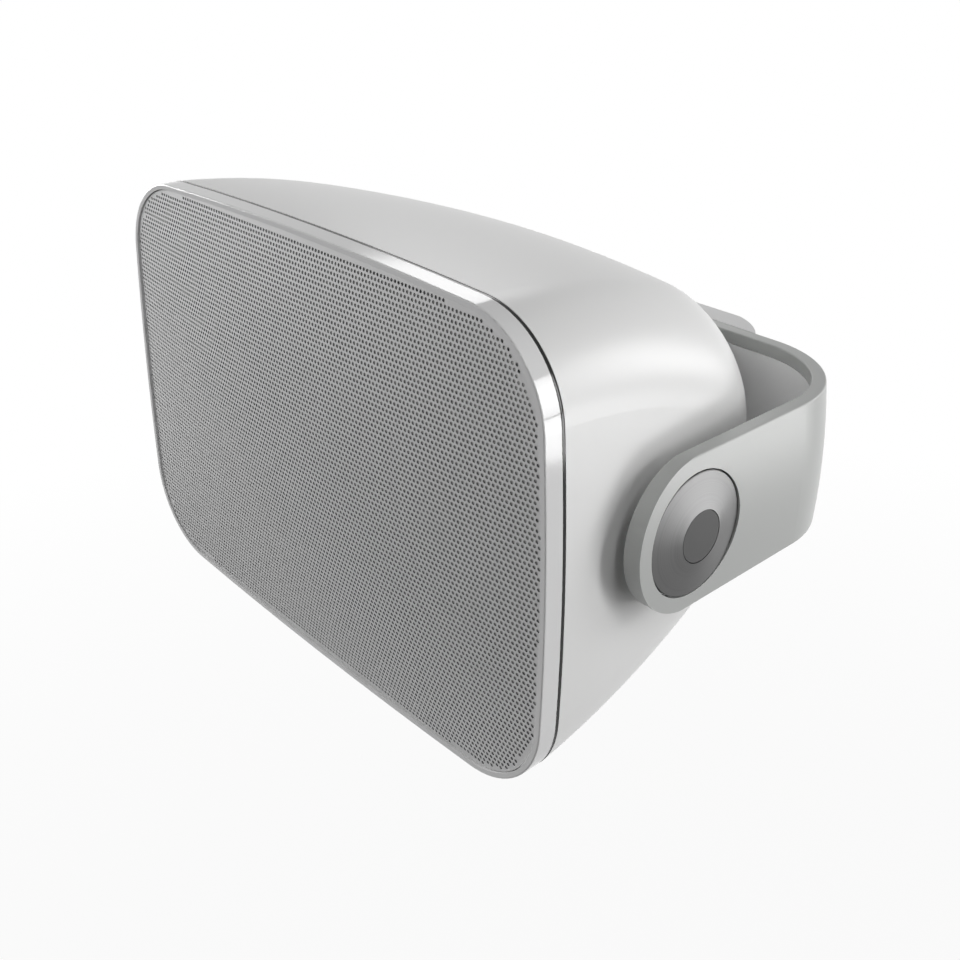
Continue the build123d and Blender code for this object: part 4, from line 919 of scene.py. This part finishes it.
floor_paint = bpy.data.materials.new("studio_white")
floor_paint.use_nodes = True
floor_tree = floor_paint.node_tree
floor_tree.nodes.clear()
floor_place = wire(floor_tree, "ShaderNodeTexCoord").outputs["Object"]
floor_far = wire(floor_tree, "ShaderNodeVectorMath",
                 {0: floor_place}, operation="LENGTH").outputs["Value"]
floor_fade = wire(floor_tree, "ShaderNodeMapRange", {
    "Value": floor_far, "From Min": fade_start, "From Max": fade_end,
    "To Min": near_glow, "To Max": 1.0}).outputs["Result"]
floor_share = math_node(floor_tree, "MULTIPLY", seen_ray(floor_tree), floor_fade)
floor_matt = wire(floor_tree, "ShaderNodeBsdfDiffuse", {"Color": (*grey(0.8), 1)})
floor_glow = wire(floor_tree, "ShaderNodeEmission", {"Color": (1, 1, 1, 1), "Strength": 1.0})
floor_both = wire(floor_tree, "ShaderNodeMixShader", {
    0: floor_share, 1: floor_matt.outputs[0], 2: floor_glow.outputs[0]})
wire(floor_tree, "ShaderNodeOutputMaterial", {"Surface": floor_both.outputs[0]})
floor_mesh.materials.append(floor_paint)

# %% [markdown]
# ## Lamps
# The photograph's brightest side is the right end, and its front is in soft shade, so the strong
# softboxes stand behind the speaker, on the right. Where they stand can be read off the polished
# rim: the bright patch at its right corner and the bright band along its top are mirror images of
# two of them. Each lamp is placed by the direction it comes from: an angle around the speaker,
# counted from its front towards its right end, and a height.

# %% Softboxes
speaker_middle = Vector((0, -0.1, 0))
beam_width = radians(70)


def softbox(name, around, height, watts, width=1.0, tall=1.0, distance=2.0):
    """An area lamp at (sin a cos h, -cos a cos h, sin h) times distance, aimed at the speaker.

    A grid in front keeps its beam narrow, so it doesn't flood the floor as well.
    """
    data = bpy.data.lights.new(name, "AREA")
    data.shape, data.size, data.size_y = "RECTANGLE", width, tall
    data.energy, data.spread = watts, beam_width
    lamp = bpy.data.objects.new(name, data)
    a, h = radians(around), radians(height)
    lamp.location = speaker_middle + Vector((sin(a) * cos(h), -cos(a) * cos(h), sin(h))) * distance
    lamp.rotation_euler = (speaker_middle - lamp.location).to_track_quat("-Z", "Y").to_euler()
    lamp.visible_camera = False
    scene.collection.objects.link(lamp)
    return lamp


lamps = [
    softbox("back_right", around=127, height=10, watts=1.7, width=0.35, tall=1.05),
    softbox("back_right_low", around=134, height=-14, watts=1.6, width=0.8, tall=0.55),
    softbox("back", around=154, height=10, watts=1.8, width=0.8, tall=0.8),
    softbox("back_left", around=225, height=30, watts=0.5, width=0.7, tall=0.45),
    softbox("right_top", around=95, height=50, watts=1.5),
    softbox("front_left", around=288, height=8, watts=5.2),
    softbox("front_right", around=20, height=30, watts=1.4),
]
print(len(lamps), "lamps,", round(sum(lamp.data.energy for lamp in lamps), 2), "watts")

# %% [markdown]
# ## Studio air
# The white room behind the speaker is what the camera and the mirrors see, but as a light from
# everywhere it would wash out the shading. So it is white only to the rays that look at it, and to
# the light that spreads it gives next to nothing.

# %% White room
air_light = 0.02
world = bpy.data.worlds.new("studio_air")
scene.world = world
world.use_nodes = True
air_tree = world.node_tree
air = air_tree.nodes["Background"]
air.inputs["Color"].default_value = (1, 1, 1, 1)
air_tree.links.new(remap(air_tree, seen_ray(air_tree), air_light, 1.0), air.inputs["Strength"])
print("air gives", air_light, "of white")
